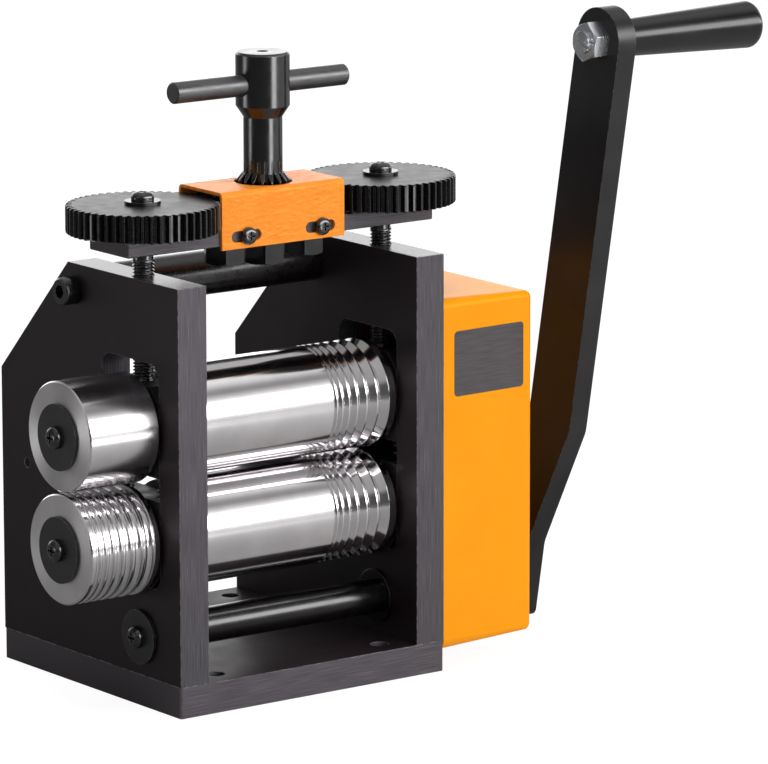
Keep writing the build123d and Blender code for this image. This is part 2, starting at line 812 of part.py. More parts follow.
def crank_arm_bolt():
    head = hexagon_prism(arm_bolt_head_flats, arm_bolt_head_height)
    grip = arm_washer_thickness + seat_shortfall + arm_bolt_grip
    bolt = head + Pos(0, 0, -grip / 2) * Cylinder(arm_bolt_radius, grip)
    return along_x(bolt, arm_outer + arm_washer_thickness, crank_y, crank_z)


def grip_nut():
    nut = hexagon_prism(grip_nut_flats, grip_nut_height)
    nut -= Pos(0, 0, grip_nut_height / 2) * Cylinder(grip_bolt_radius, grip_nut_height)
    turned_nut = Pos(grip_side - arm_thickness, 0, crank_length) * Rot(0, -90, 0) * nut
    return leaned(turned_nut)


def grip_end():
    return grip_side + grip_gap + grip_length


def grip_bolt():
    """Bolt that the grip turns on: its head is sunk in the grip's end, its nut is on the arm's inner face."""
    start = grip_side - arm_thickness - grip_nut_height - grip_bolt_proud
    head_start = grip_end() - grip_bolt_head_sink
    head_end = head_start + grip_bolt_head_height
    outline = [(start, grip_bolt_radius), (head_start, grip_bolt_radius),
               (head_start, grip_bolt_head_radius), (head_end, grip_bolt_head_radius)]
    return leaned(Pos(0, 0, crank_length) * turned(outline))


def crank_grip():
    """Tapered grip, free to turn on its bolt."""
    start, end = grip_side + grip_gap, grip_end()
    outline = [(start, grip_near_radius), (end, grip_far_radius)]
    grip = turned(outline)
    grip = fillet(grip.edges().sort_by(Axis.X)[-1], grip_end_round)
    head_room = end - grip_bolt_head_sink - grip_bore_play
    grip -= x_bar(grip_bolt_radius + grip_bore_play, start, end, 0, 0)
    grip -= x_bar(grip_bolt_head_radius + grip_bore_play, head_room, end, 0, 0)
    return leaned(Pos(0, 0, crank_length) * grip)


# ---------------------------------------------------------------- gear cover
def cover_block(wall, depth):
    """The cover's outer form, or with a wall its hollow, tapering away from the plate."""
    width = cover_length - 2 * wall
    height = cover_high - cover_low - 2 * wall
    face = RectangleRounded(width, height, max(cover_corner_radius - wall, 0.5))
    middle = Pos(front + cover_length / 2, (cover_low + cover_high) / 2)
    return Plane.YZ.offset(plate_outer) * extrude(middle * face, depth, taper=cover_draft)


def gear_cover():
    """Moulded cover, open toward the right plate, with a boss for a sunk screw in each corner."""
    cover = cover_block(0, cover_depth)
    cover = fillet(cover.faces().sort_by(Axis.X)[-1].edges(), cover_edge_radius)
    cover -= cover_block(cover_wall, cover_depth - cover_wall)
    for y, z in cover_screw_places():
        cover += x_bar(cover_boss_radius, plate_outer, cover_outer - cover_wall, y, z)
        cover -= x_bar(cover_screw_radius + screw_hole_clearance, plate_outer, cover_outer, y, z)
        seat = cover_outer - cover_screw_sink
        cover -= x_bar(cover_screw_head_radius + cover_head_play, seat, cover_outer, y, z)
    cover -= x_bar(crank_shaft_radius + cover_hole_play, plate_outer, cover_outer, crank_y, crank_z)
    return cover


def cover_screws():
    grip = cover_depth - cover_screw_sink + cover_screw_depth
    one = screw(cover_screw_radius, grip, cover_screw_head_radius, cover_screw_head_height)
    return [Pos(cover_outer - cover_screw_sink, y, z) * one for y, z in cover_screw_places()]


# ---------------------------------------------------------------- adjusting screws and the gear train on top
def adjusting_screw(side):
    """Screw through the top of a side plate; it bears on the upper block and carries a gear on top."""
    tip = upper_axis_height + block_height / 2 + screw_tip_gap
    thread_top = frame_height + screw_thread_stand
    outline = [(tip, screw_radius - 1), (tip + 1, screw_radius), (thread_top - 0.6, screw_radius),
               (thread_top, screw_collar_radius), (bar_bottom - running_play, screw_collar_radius),
               (bar_bottom - running_play, screw_spindle_radius), (gear_bottom, screw_spindle_radius),
               (gear_bottom, screw_gear_seat_radius), (gear_top - seat_shortfall, screw_gear_seat_radius)]
    body = turned_upright(outline, side * plate_middle, axis_y)
    body -= gear_seat_flat(side)
    hole_bottom = gear_top + gear_washer_thickness - gear_screw_grip
    body -= z_bar(gear_screw_radius, hole_bottom, gear_top, side * plate_middle, axis_y)
    return body


def gear_seat_flat(side):
    """What is milled off the screw's top to drive the gear."""
    low = (side * plate_middle - screw_gear_seat_radius, axis_y - screw_gear_seat_radius, gear_bottom)
    high = (side * plate_middle + screw_gear_seat_radius, axis_y - screw_gear_flat, gear_top)
    return block_between(low, high)


def screw_gear(side):
    """Large gear of the train; the right one has a space where the left one has a tooth."""
    phase = 180 / screw_gear_teeth if side > 0 else 0
    gear = module_gear(screw_gear_teeth, train_module, train_gear_width, train_backlash, phase)
    tip_radius = train_module * (screw_gear_teeth + 2) / 2
    edge = screw_gear_edge
    clear = tip_radius + 0.01
    blank = turned_upright([(0, tip_radius - edge), (edge, clear), (train_gear_width - edge, clear),
                            (train_gear_width, tip_radius - edge)], 0, 0)
    gear = Pos(side * plate_middle, axis_y, gear_bottom) * (gear & blank)
    seat = z_bar(screw_gear_seat_radius, gear_bottom, gear_top, side * plate_middle, axis_y)
    return gear - (seat - gear_seat_flat(side))


def gear_washer(side):
    top = gear_top + gear_washer_thickness
    washer = z_bar(gear_washer_radius, gear_top, top, side * plate_middle, axis_y)
    return washer - z_bar(gear_screw_radius, gear_top, top, side * plate_middle, axis_y)


def gear_screw(side):
    one = screw(gear_screw_radius, gear_screw_grip, gear_screw_head_radius, gear_screw_head_height)
    return Pos(side * plate_middle, axis_y, gear_top + gear_washer_thickness) * Rot(0, -90, 0) * one


def bridge_bar():
    """Flat bar that holds the two screws and the gears between them at their distance."""
    half_length, half_width = bar_length / 2, bar_width / 2
    bar = block_between((-half_length, axis_y - half_width, bar_bottom),
                        (half_length, axis_y + half_width, bar_top))
    bar = chamfer(bar.edges(), bar_edge)
    bar -= z_bar(handle_journal_radius + running_play, bar_bottom, bar_top, 0, axis_y)
    for side in (-1, 1):
        bar -= z_bar(screw_spindle_radius + running_play, bar_bottom, bar_top, side * plate_middle, axis_y)
        bar -= z_bar(idler_pin_radius, bar_bottom, bar_top, side * idler_x, axis_y)
    for x, way in guard_screw_places():
        face = axis_y + way * bar_width / 2
        bar -= y_bar(guard_screw_radius, face - way * guard_screw_grip, face, x, (bar_bottom + bar_top) / 2)
    return bar


def idler_gear(side):
    gear = module_gear(idler_teeth, train_module, train_gear_width, train_backlash, 0)
    gear = Pos(side * idler_x, axis_y, gear_bottom) * gear
    return gear - z_bar(idler_pin_radius + running_play, gear_bottom, gear_top, side * idler_x, axis_y)


def idler_bolts():
    """Hexagon bolts up through the bar; the idlers run on their plain shanks."""
    bolts = []
    for side in (-1, 1):
        head = Pos(0, 0, hexagon_height) * Rot(180, 0, 0) * hexagon_prism(hexagon_flats, hexagon_height)
        shank = z_bar(idler_pin_radius, bar_bottom, gear_top + pin_proud, side * idler_x, axis_y)
        bolts.append(Pos(side * idler_x, axis_y, hexagon_bottom) * head + shank)
    return bolts


def idler_clips():
    clips = []
    for side in (-1, 1):
        low = gear_top + clip_gap
        clip = z_bar(clip_radius, low, low + clip_thickness, side * idler_x, axis_y)
        clips.append(clip - z_bar(idler_pin_radius, low, low + clip_thickness, side * idler_x, axis_y))
    return clips


# ---------------------------------------------------------------- T-handle
def handle_pinion():
    """Spindle with teeth cut near its foot, a neck, and a round head for the tommy bar."""
    pitch_radius = train_module * handle_teeth / 2
    tip_radius = pitch_radius + train_module
    full = teeth_height
    turned_down = teeth_height + teeth_shoulder
    faded = turned_down + cutter_run_out
    outline = gear_outline(handle_teeth, pitch_radius, tip_radius, handle_root_radius, train_backlash, 0)
    teeth = extrude(outline, faded)
    clear = tip_radius + 0.01
    blank = turned_upright([(0, clear), (full, clear), (turned_down, teeth_shoulder_radius),
                            (turned_down, handle_neck_radius), (faded, handle_neck_radius)], 0, 0)
    cone_bottom = neck_top
    cone_top = neck_top + head_cone_height
    stub = nut_bottom - gear_bottom
    journal_foot = bar_bottom - gear_bottom - handle_nut_gap
    outline = [(stub, handle_stub_radius), (journal_foot, handle_stub_radius),
               (journal_foot, handle_journal_radius), (0, handle_journal_radius), (0, handle_root_radius),
               (turned_down, handle_root_radius), (faded, handle_neck_radius),
               (cone_bottom, handle_neck_radius), (cone_top, head_radius),
               (head_top - head_edge, head_radius), (head_top, head_radius - head_edge)]
    body = turned_upright(outline, 0, 0) + (teeth & blank)
    body = Pos(0, axis_y, gear_bottom) * body
    bar_height = gear_bottom + tommy_height
    body -= x_bar(tommy_radius + tommy_hole_play, -head_radius, head_radius, axis_y, bar_height)
    body -= z_bar(grub_screw_radius, bar_height, gear_bottom + head_top, 0, axis_y)
    return body


def pinion_nut():
    """Nut under the bar that holds the handle pinion down."""
    height = pinion_nut_height
    nut = Pos(0, 0, height) * Rot(180, 0, 0) * hexagon_prism(hexagon_flats, height)
    nut -= Pos(0, 0, height / 2) * Cylinder(handle_stub_radius, height)
    return Pos(0, axis_y, nut_bottom) * nut


def tommy_bar():
    start, end = tommy_shift - tommy_length / 2, tommy_shift + tommy_length / 2
    outline = [(start, tommy_radius - tommy_edge), (start + tommy_edge, tommy_radius),
               (end - tommy_edge, tommy_radius), (end, tommy_radius - tommy_edge)]
    return Pos(0, axis_y, gear_bottom + tommy_height) * turned(outline)


def tommy_grub_screw():
    """Grub screw in the head's top that clamps the tommy bar."""
    foot = gear_bottom + tommy_height + tommy_radius
    return z_bar(grub_screw_radius, foot, foot + grub_screw_length, 0, axis_y)


# ---------------------------------------------------------------- gear guard
def guard_screw_places():
    return [(end * guard_screw_spacing / 2, way) for end in (-1, 1) for way in (-1, 1)]


def gear_guard():
    """Bent sheet over the train, open at both ends, clamped to the bar through slots."""
    width, height = bar_width + 2 * guard_sheet, guard_top - guard_bottom
    outer = Pos(0, height / 2) * Rectangle(width, height)
    outer = fillet(outer.vertices().group_by(Axis.Y)[-1], guard_bend_radius)
    inner = Pos(0, (height - guard_sheet) / 2) * Rectangle(bar_width, height - guard_sheet)
    inner = fillet(inner.vertices().group_by(Axis.Y)[-1], guard_bend_radius - guard_sheet)
    section = Pos(axis_y, guard_bottom) * (outer - inner)
    guard = Plane.YZ.offset(guard_shift - guard_length / 2) * extrude(section, guard_length)
    tip_radius = train_module * (handle_teeth + 2) / 2
    guard -= z_bar(tip_radius + guard_hole_play, guard_bottom, guard_top, 0, axis_y)
    slot_cut = extrude(SlotOverall(guard_slot_length, guard_slot_width), 2 * bar_width, both=True)
    for end in (-1, 1):
        x = guard_shift + end * guard_screw_spacing / 2
        guard -= Pos(x, axis_y, (bar_bottom + bar_top) / 2) * Rot(90, 0, 0) * slot_cut
    return guard


def guard_screws():
    screws = []
    for x, way in guard_screw_places():
        grip = guard_sheet + guard_screw_grip
        one = screw(guard_screw_radius, grip, guard_screw_head_radius, guard_screw_head_height)
        face = axis_y + way * (bar_width / 2 + guard_sheet)
        screws.append(Pos(x, face, (bar_bottom + bar_top) / 2) * Rot(0, 0, 90 * way) * one)
    return screws


# ---------------------------------------------------------------- every sub-part under its own name
def all_parts():
    lower_end, upper_end = drive_gear_end, roller_gear_end
    low, up = lower_axis_height, upper_axis_height
    half_tooth = 180 / roller_gear_teeth
    parts = {
        "base_plate": base_plate(),
        "left_side_plate": side_plate(-1),
        "right_side_plate": side_plate(1),
        "base_screws": base_screws(),
        "tie_rod": tie_rod(),
        "tie_rod_screws": tie_rod_screws(),
        "left_lower_block": bearing_block(-1, low, False),
        "right_lower_block": bearing_block(1, low, False),
        "lower_journal_bushes": journal_bushes(low),
        "crank_shaft_bushes": crank_shaft_bushes(),
        "lift_springs": lift_springs(),
        "gear_cover": gear_cover(),
        "cover_screws": cover_screws(),
        "lower_roller": roller(low, lower_end),
        "lower_side_roller": side_roller(low, True),
        "lower_roller_keys": roller_keys(low, lower_end),
        "lower_end_washers": end_washers(low, lower_end),
        "lower_end_screws": end_screws(low, lower_end),
        "lower_roller_gear": roller_gear(low, 0),
        "drive_gear": drive_gear(),
        "left_upper_block": bearing_block(-1, up, True),
        "right_upper_block": bearing_block(1, up, True),
        "upper_journal_bushes": journal_bushes(up),
        "upper_roller": roller(up, upper_end),
        "upper_side_roller": side_roller(up, False),
        "upper_roller_keys": roller_keys(up, upper_end),
        "upper_end_washers": end_washers(up, upper_end),
        "upper_end_screws": end_screws(up, upper_end),
        "upper_roller_gear": roller_gear(up, half_tooth),
        "crank_shaft": crank_shaft(),
        "crank_pinion": crank_pinion(),
        "pinion_key": pinion_key(),
        "crank_shaft_washer": crank_shaft_washer(),
        "crank_shaft_screw": crank_shaft_screw(),
        "crank_arm": crank_arm(),
        "crank_arm_washer": crank_arm_washer(),
        "crank_arm_bolt": crank_arm_bolt(),
        "grip_bolt": grip_bolt(),
        "grip_nut": grip_nut(),
        "crank_grip": crank_grip(),
        "bridge_bar": bridge_bar(),
        "gear_guard": gear_guard(),
        "guard_screws": guard_screws(),
        "idler_bolts": idler_bolts(),
        "idler_clips": idler_clips(),
        "handle_pinion": handle_pinion(),
        "tommy_bar": tommy_bar(),
        "tommy_grub_screw": tommy_grub_screw(),
        "pinion_nut": pinion_nut(),
    }
    for name, side in (("left", -1), ("right", 1)):
        parts[f"{name}_idler_gear"] = idler_gear(side)
        parts[f"{name}_adjusting_screw"] = adjusting_screw(side)
        parts[f"{name}_screw_gear"] = screw_gear(side)
        parts[f"{name}_gear_washer"] = gear_washer(side)
        parts[f"{name}_gear_screw"] = gear_screw(side)
    return parts


os.makedirs("parts", exist_ok=True)
for node, shape in all_parts().items():
    if isinstance(shape, list):
        shape = Compound(children=shape)
    export_step(shape, f"parts/{node}.step")
print("crank axis at Y", round(crank_y, 3), "Z", round(crank_z, 3))
print("train module", round(train_module, 4), "idlers at X", round(idler_x, 3))
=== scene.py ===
# %% [markdown]
# # Dressing a jewellers rolling mill
# A rolling mill squeezes metal between two steel rollers. Ours arrives as a finished CAD model, in which every
# plate, gear and screw is its own object. This lesson gives each of them the finish of the real piece, and
# models the small things that a drawing leaves out: threads, screw slots and the rating plate.
# The first step loads the model and counts its pieces.

# %% Load the mill
import bpy
import bmesh
from math import cos, pi, radians, sin, sqrt, tan
from mathutils import Matrix, Vector


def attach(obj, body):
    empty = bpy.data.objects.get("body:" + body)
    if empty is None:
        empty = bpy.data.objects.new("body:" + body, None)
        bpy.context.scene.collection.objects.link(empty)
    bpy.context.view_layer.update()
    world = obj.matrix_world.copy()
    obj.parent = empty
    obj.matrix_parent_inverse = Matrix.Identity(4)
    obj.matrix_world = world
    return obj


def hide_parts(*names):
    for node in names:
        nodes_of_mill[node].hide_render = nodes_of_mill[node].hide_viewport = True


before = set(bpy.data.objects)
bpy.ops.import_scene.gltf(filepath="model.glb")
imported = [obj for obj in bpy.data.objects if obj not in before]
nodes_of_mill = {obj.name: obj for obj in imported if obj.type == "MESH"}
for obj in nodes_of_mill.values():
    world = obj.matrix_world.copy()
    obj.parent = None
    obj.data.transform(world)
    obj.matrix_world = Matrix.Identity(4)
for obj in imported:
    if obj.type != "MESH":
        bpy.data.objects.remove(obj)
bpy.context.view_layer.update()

print("pieces on the drawing:", len(nodes_of_mill))

# %% [markdown]
# ## The camera
# The picture was taken from the left front, a little above the bench, with a long lens: a long lens keeps
# edges that are parallel on the mill nearly parallel in the picture. We state where the camera stands and
# which way it looks as two angles, and build its three axes from them. That is easier to check against a
# photograph than a rotation found by trial.

# %% Set up the camera
camera_place = Vector((-1.50150, -2.13677, 0.66359))
camera_turn = radians(-36.695)
camera_height_angle = radians(11.549)
camera_roll = radians(-0.088)
backward = Vector((sin(camera_turn) * cos(camera_height_angle),
                   -cos(camera_turn) * cos(camera_height_angle),
                   sin(camera_height_angle)))
rightward = Vector((cos(camera_turn), sin(camera_turn), 0))
upward = backward.cross(rightward)
rolled_right = cos(camera_roll) * rightward + sin(camera_roll) * upward
rolled_up = -sin(camera_roll) * rightward + cos(camera_roll) * upward

lens = bpy.data.cameras.new("studio_camera")
lens.sensor_width = 36.0
lens.lens = 278.3
lens.clip_start = 0.1
lens.clip_end = 60.0
camera = bpy.data.objects.new("studio_camera", lens)
camera_axes = Matrix((rolled_right, rolled_up, backward)).transposed().to_4x4()
camera.matrix_world = Matrix.Translation(camera_place) @ camera_axes
bpy.context.scene.collection.objects.link(camera)
bpy.context.scene.camera = camera
print("camera stands", round(camera_place.length, 2), "m from the mill")

# %% [markdown]
# ## The studio
# A tool like this is shown on white. The floor is a real surface, so that it catches the mill's soft shadow.
# It could be lit until it burns out to white, but that much light would bleach the paint too. Instead the
# floor glows for the camera and for mirrors only, and keeps its plain diffuse side for everything else.
# In mirrors it is darker near the mill, behind it and to its left: polished steel and black paint need
# something dark to reflect, or they turn to chalk. Far off, two narrow wedges of it are very bright. They
# draw the long upright highlights on the handle, as two tall lamps would. The two lists below give the glow
# by the angle round the mill, in degrees from straight in front; distances are in metres.

# %% Lay the floor
floor_mesh = bpy.data.meshes.new("studio_floor")
reach = 9.0
gap_under_base = 0.0004
floor_mesh.from_pydata([(-reach, -reach, 0), (reach, -reach, 0), (reach, reach, 0), (-reach, reach, 0)], [],
                       [(0, 1, 2, 3)])
floor = bpy.data.objects.new("studio_floor", floor_mesh)
floor.location.z = -gap_under_base
bpy.context.scene.collection.objects.link(floor)


def maths(tree, operation, *values):
    """One sum, such as MULTIPLY or ABSOLUTE, on one or two values."""
    step = tree.nodes.new("ShaderNodeMath")
    step.operation = operation
    for socket, value in zip(step.inputs, values):
        tree.links.new(value, socket)
    return step.outputs[0]


def ray_kinds(tree):
    """Two switches: 1 for rays that show the backdrop straight, and 1 for those or mirror rays."""
    path = tree.nodes.new("ShaderNodeLightPath")
    straight = maths(tree, "MAXIMUM", path.outputs["Is Camera Ray"], path.outputs["Is Transmission Ray"])
    return straight, maths(tree, "MAXIMUM", straight, path.outputs["Is Glossy Ray"])


def stretch(tree, value, start, end, low, high):
    """Turns a value that runs from start to end into one that runs from low to high."""
    span = tree.nodes.new("ShaderNodeMapRange")
    for socket, number in (("From Min", start), ("From Max", end), ("To Min", low), ("To Max", high)):
        span.inputs[socket].default_value = number
    tree.links.new(value, span.inputs["Value"])
    return span.outputs["Result"]


def ramp(tree, value, stops, brightest):
    """Brightness read off a list of (degrees, brightness) at an angle in radians."""
    scale = tree.nodes.new("ShaderNodeValToRGB")
    while len(scale.color_ramp.elements) < len(stops):
        scale.color_ramp.elements.new(0.5)
    for stop, (angle, brightness) in zip(scale.color_ramp.elements, stops):
        stop.position = (angle + 180) / 360
        stop.color = [brightness / brightest] * 3 + [1]
    tree.links.new(stretch(tree, value, -pi, pi, 0, 1), scale.inputs[0])
    return stretch(tree, scale.outputs["Color"], 0, 1, 0, brightest)


def switched(tree, switch, off, on):
    """The value off, or on where the switch is 1; on is a number or another value."""
    mix = tree.nodes.new("ShaderNodeMix")
    tree.links.new(switch, mix.inputs["Factor"])
    tree.links.new(off, mix.inputs["A"])
    if isinstance(on, (int, float)):
        mix.inputs["B"].default_value = on
    else:
        tree.links.new(on, mix.inputs["B"])
    return mix.outputs["Result"]


floor_finish = bpy.data.materials.new("white_floor")
floor_finish.use_nodes = True
floor_tree = floor_finish.node_tree
floor_tree.nodes.remove(floor_tree.nodes["Principled BSDF"])
paper = floor_tree.nodes.new("ShaderNodeBsdfDiffuse")
paper.inputs["Color"].default_value = (0.82, 0.82, 0.82, 1)
glow = floor_tree.nodes.new("ShaderNodeEmission")
glow.inputs["Color"].default_value = (1, 1, 1, 1)
straight, shown = ray_kinds(floor_tree)
floor_place = floor_tree.nodes.new("ShaderNodeTexCoord")
floor_parts = floor_tree.nodes.new("ShaderNodeSeparateXYZ")
floor_tree.links.new(floor_place.outputs["Object"], floor_parts.inputs[0])
floor_distance = floor_tree.nodes.new("ShaderNodeVectorMath")
floor_distance.operation = "LENGTH"
floor_tree.links.new(floor_place.outputs["Object"], floor_distance.inputs[0])
floor_forward = stretch(floor_tree, floor_parts.outputs["Y"], -reach, reach, reach, -reach)
round_mill = maths(floor_tree, "ARCTAN2", floor_parts.outputs["X"], floor_forward)
near_glow = [(-180, 0.14), (-143, 0.10), (-100, 0.18), (-60, 0.34), (-20, 0.75), (10, 1.0), (75, 1.0),
             (100, 0.45), (180, 0.20)]
far_glow = [(-180, 0.14), (-136, 0.10), (-125, 0.25), (-119, 5.0), (-110, 5.0), (-105, 0.30), (-95, 0.06),
            (-5, 0.06), (2, 0.40), (7, 9.5), (20, 9.5), (26, 1.2), (33, 0.85), (75, 0.85), (100, 0.40),
            (180, 0.20)]
brightest_near, brightest_far = 1.0, 10.0
shade_start, shade_end, deepest_shade = 0.12, 0.7, 0.34
far_start, far_end = 0.55, 0.85
glow_for_camera = 1.165
glow_share = 0.8
close_by = stretch(floor_tree, floor_distance.outputs["Value"], shade_start, shade_end, deepest_shade, 1.0)
mirrored_near = maths(floor_tree, "MULTIPLY", close_by, ramp(floor_tree, round_mill, near_glow, brightest_near))
mirrored_far = ramp(floor_tree, round_mill, far_glow, brightest_far)
far_off = stretch(floor_tree, floor_distance.outputs["Value"], far_start, far_end, 0, 1)
mirrored_glow = switched(floor_tree, far_off, mirrored_near, mirrored_far)
floor_tree.links.new(switched(floor_tree, straight, mirrored_glow, glow_for_camera), glow.inputs["Strength"])
floor_mix = floor_tree.nodes.new("ShaderNodeMixShader")
floor_tree.links.new(stretch(floor_tree, shown, 0, 1, 0, glow_share), floor_mix.inputs[0])
floor_tree.links.new(paper.outputs[0], floor_mix.inputs[1])
floor_tree.links.new(glow.outputs[0], floor_mix.inputs[2])
floor_tree.links.new(floor_mix.outputs[0], floor_tree.nodes["Material Output"].inputs["Surface"])
floor_mesh.materials.append(floor_finish)
print("floor reaches", reach, "m each way")

# %% [markdown]
# ## Soft light
# One large soft box stands to the right of the camera, so the front edges are lighter than the outer face of
# the left plate. A second one hangs overhead for the tops of the gears, and a third stands behind, for whoever
# walks round the mill. The world is a pale room that fills the shadows. All of them are kept at the level where
# a colour looks as bright as it is written.
# A roller is a curved mirror: it shows the whole studio squeezed into stripes. So mirrors see a room of soft
# stripes that run parallel to the rollers, with a broad white screen in front, a dark gap above it and a
# second white screen overhead. The stripes are listed by their angle over the horizon in front of the mill.
# The screens end on the left, where a second list takes over: it keeps the left flank of each groove dark.

# %% Hang the lamps
def soft_box(name, place, aim, width, height, power):
    lamp = bpy.data.lights.new(name, "AREA")
    lamp.shape = "RECTANGLE"
    lamp.size = width
    lamp.size_y = height
    lamp.energy = power
    stand = bpy.data.objects.new(name, lamp)
    stand.location = place
    stand.rotation_euler = (Vector(aim) - Vector(place)).to_track_quat("-Z", "Y").to_euler()
    stand.visible_glossy = False
    bpy.context.scene.collection.objects.link(stand)


middle_of_mill = (0.0, 0.0, 0.12)
soft_box("front_soft_box", (0.9, -2.2, 1.0), middle_of_mill, 1.2, 1.2, 30.5)
soft_box("overhead_soft_box", (-0.1, -0.2, 1.7), middle_of_mill, 1.3, 1.0, 14.0)
soft_box("rear_soft_box", (1.0, 2.1, 1.0), middle_of_mill, 1.2, 1.2, 17.0)

room = bpy.data.worlds.new("pale_room")
bpy.context.scene.world = room
room.use_nodes = True
room_tree = room.node_tree
fill_light = room_tree.nodes["Background"]
fill_light.inputs["Color"].default_value = (1, 1, 1, 1)
fill_light.inputs["Strength"].default_value = 0.31
shown_room = room_tree.nodes.new("ShaderNodeBackground")
shown_room.inputs["Color"].default_value = (1, 1, 1, 1)
straight, shown = ray_kinds(room_tree)
room_direction = room_tree.nodes.new("ShaderNodeTexCoord")
room_parts = room_tree.nodes.new("ShaderNodeSeparateXYZ")
room_tree.links.new(room_direction.outputs["Generated"], room_parts.inputs[0])
forward = stretch(room_tree, room_parts.outputs["Y"], -1, 1, 1, -1)
height_angle = maths(room_tree, "ARCTAN2", room_parts.outputs["Z"], forward)
screen_stripes = [(-180, 2.20), (-150, 0.30), (-75, 0.36), (-54, 0.48), (-34, 0.68), (-24, 0.62), (-14, 0.80),
                  (0, 0.98), (6, 1.20), (11, 9.50), (31, 9.50), (38, 1.40), (46, 0.75), (55, 0.36), (62, 0.42),
                  (72, 0.85), (80, 1.10), (100, 1.10), (118, 0.60), (135, 0.55), (150, 0.80), (162, 2.20),
                  (180, 2.20)]
lit = ramp(room_tree, height_angle, screen_stripes, brightest_far)
left_stripes = [(-180, 0.12), (-40, 0.50), (-12, 0.40), (-2, 0.10), (22, 0.10), (34, 0.40), (60, 0.45),
                (90, 0.55), (120, 0.30), (150, 0.14), (180, 0.12)]
left_side = ramp(room_tree, height_angle, left_stripes, brightest_near)
screens_end, left_start = 0.1, -0.45
leftward = stretch(room_tree, room_parts.outputs["X"], screens_end, left_start, 0.0, 1.0)
seen_in_mirrors = switched(room_tree, leftward, lit, left_side)
room_tree.links.new(switched(room_tree, straight, seen_in_mirrors, 1.0), shown_room.inputs["Strength"])
room_mix = room_tree.nodes.new("ShaderNodeMixShader")
room_tree.links.new(shown, room_mix.inputs[0])
room_tree.links.new(fill_light.outputs[0], room_mix.inputs[1])
room_tree.links.new(shown_room.outputs[0], room_mix.inputs[2])
room_tree.links.new(room_mix.outputs[0], room_tree.nodes["World Output"].inputs["Surface"])
bpy.context.scene.view_settings.view_transform = "Standard"

# %% [markdown]
# ## Tools for mixing finishes
# No real surface has one colour. Every finish below is mixed from the same few steps: find where a point is on
# the mill, make a grain there, and let the grain push the colour, the gloss and the surface a little. Because
# the grain is worked out from the place on the mill, it has a true size: a scale of 1000 gives about one
# grain per millimetre.

# %% Helpers for finishes
def colour(red, green, blue):
    """A colour as a paint chart gives it, 0 to 255, turned into the linear numbers that light needs."""
    share = [c / 255 for c in (red, green, blue)]
    return [c / 12.92 if c <= 0.04045 else ((c + 0.055) / 1.055) ** 2.4 for c in share] + [1.0]


def new_finish(name, roughness, metal=0.0, sheen_level=0.5):
    """An empty finish, its tree of steps, and the shader at the end; sheen_level is how much paint mirrors."""
    finish = bpy.data.materials.new(name)
    finish.use_nodes = True
    shader = finish.node_tree.nodes["Principled BSDF"]
    shader.inputs["Roughness"].default_value = roughness
    shader.inputs["Metallic"].default_value = metal
    shader.inputs["Specular IOR Level"].default_value = sheen_level
    return finish, finish.node_tree, shader


def place_on_mill(tree, scale=(1, 1, 1)):
    """Where a point is on the mill, in metres; a larger scale packs the grain closer along that axis."""
    where = tree.nodes.new("ShaderNodeTexCoord")
    scaled = tree.nodes.new("ShaderNodeMapping")
    scaled.inputs["Scale"].default_value = scale
    tree.links.new(where.outputs["Object"], scaled.inputs["Vector"])
    return scaled.outputs["Vector"]


def grain(tree, place, scale, detail=3.0):
    """A cloudy pattern of 0 to 1 that stays mostly between 0.3 and 0.7."""
    noise = tree.nodes.new("ShaderNodeTexNoise")
    noise.inputs["Scale"].default_value = scale
    noise.inputs["Detail"].default_value = detail
    tree.links.new(place, noise.inputs["Vector"])
    return noise.outputs["Fac"]


def between(tree, value, low, high, start=0.3, end=0.7):
    """Stretches a grain from its usual span, start to end, to run from low to high."""
    return stretch(tree, value, start, end, low, high)


def painted(tree, shader, amount, first, second):
    """Colours the surface from the first colour to the second, as far as a grain says."""
    mixed = two_colours(tree, between(tree, amount, 0.0, 1.0), first, second)
    tree.links.new(mixed, shader.inputs["Base Color"])


def facing(tree, axis):
    """1 where the surface looks along an axis, either way, and 0 where it stands square to it."""
    normal = tree.nodes.new("ShaderNodeNewGeometry")
    parts = tree.nodes.new("ShaderNodeSeparateXYZ")
    tree.links.new(normal.outputs["Normal"], parts.inputs[0])
    return maths(tree, "ABSOLUTE", parts.outputs[axis])


def two_colours(tree, amount, first, second):
    """Goes from the first colour to the second; each is four numbers or another mix."""
    mix = tree.nodes.new("ShaderNodeMix")
    mix.data_type = "RGBA"
    tree.links.new(amount, mix.inputs["Factor"])
    for socket, tone in ((mix.inputs["A"], first), (mix.inputs["B"], second)):
        if isinstance(tone, (list, tuple)):
            socket.default_value = tone
        else:
            tree.links.new(tone, socket)
    return mix.outputs["Result"]


print("helpers ready")

# %% [markdown]
# ## Rounded and worn edges
# A machined edge is never perfectly sharp. Its tiny rounding catches light, and handling rubs the colour off
# it first. We could bevel every mesh, but the drawing's meshes must stay as they are. The Bevel shader node
# rounds only the shading. Where its normal leaves the true one, there is an edge, and that same difference
# serves as a mask for wear, and on the gear teeth and disc washers also for a painted glint.

# %% Helpers for edges and bumps
def rounded_normal(tree, radius):
    """The surface's normal as if its edges were rounded."""
    rounded = tree.nodes.new("ShaderNodeBevel")
    rounded.samples = 4
    rounded.inputs["Radius"].default_value = radius
    return rounded.outputs["Normal"]


def soft_edges(tree, radius):
    """Returns the rounded normal, and a mask that is 1 on edges and 0 on the open face."""
    rounded = rounded_normal(tree, radius)
    true_shape = tree.nodes.new("ShaderNodeNewGeometry")
    agreement = tree.nodes.new("ShaderNodeVectorMath")
    agreement.operation = "DOT_PRODUCT"
    tree.links.new(rounded, agreement.inputs[0])
    tree.links.new(true_shape.outputs["Normal"], agreement.inputs[1])
    return rounded, between(tree, agreement.outputs["Value"], 0.0, 1.0, start=0.985, end=0.8)


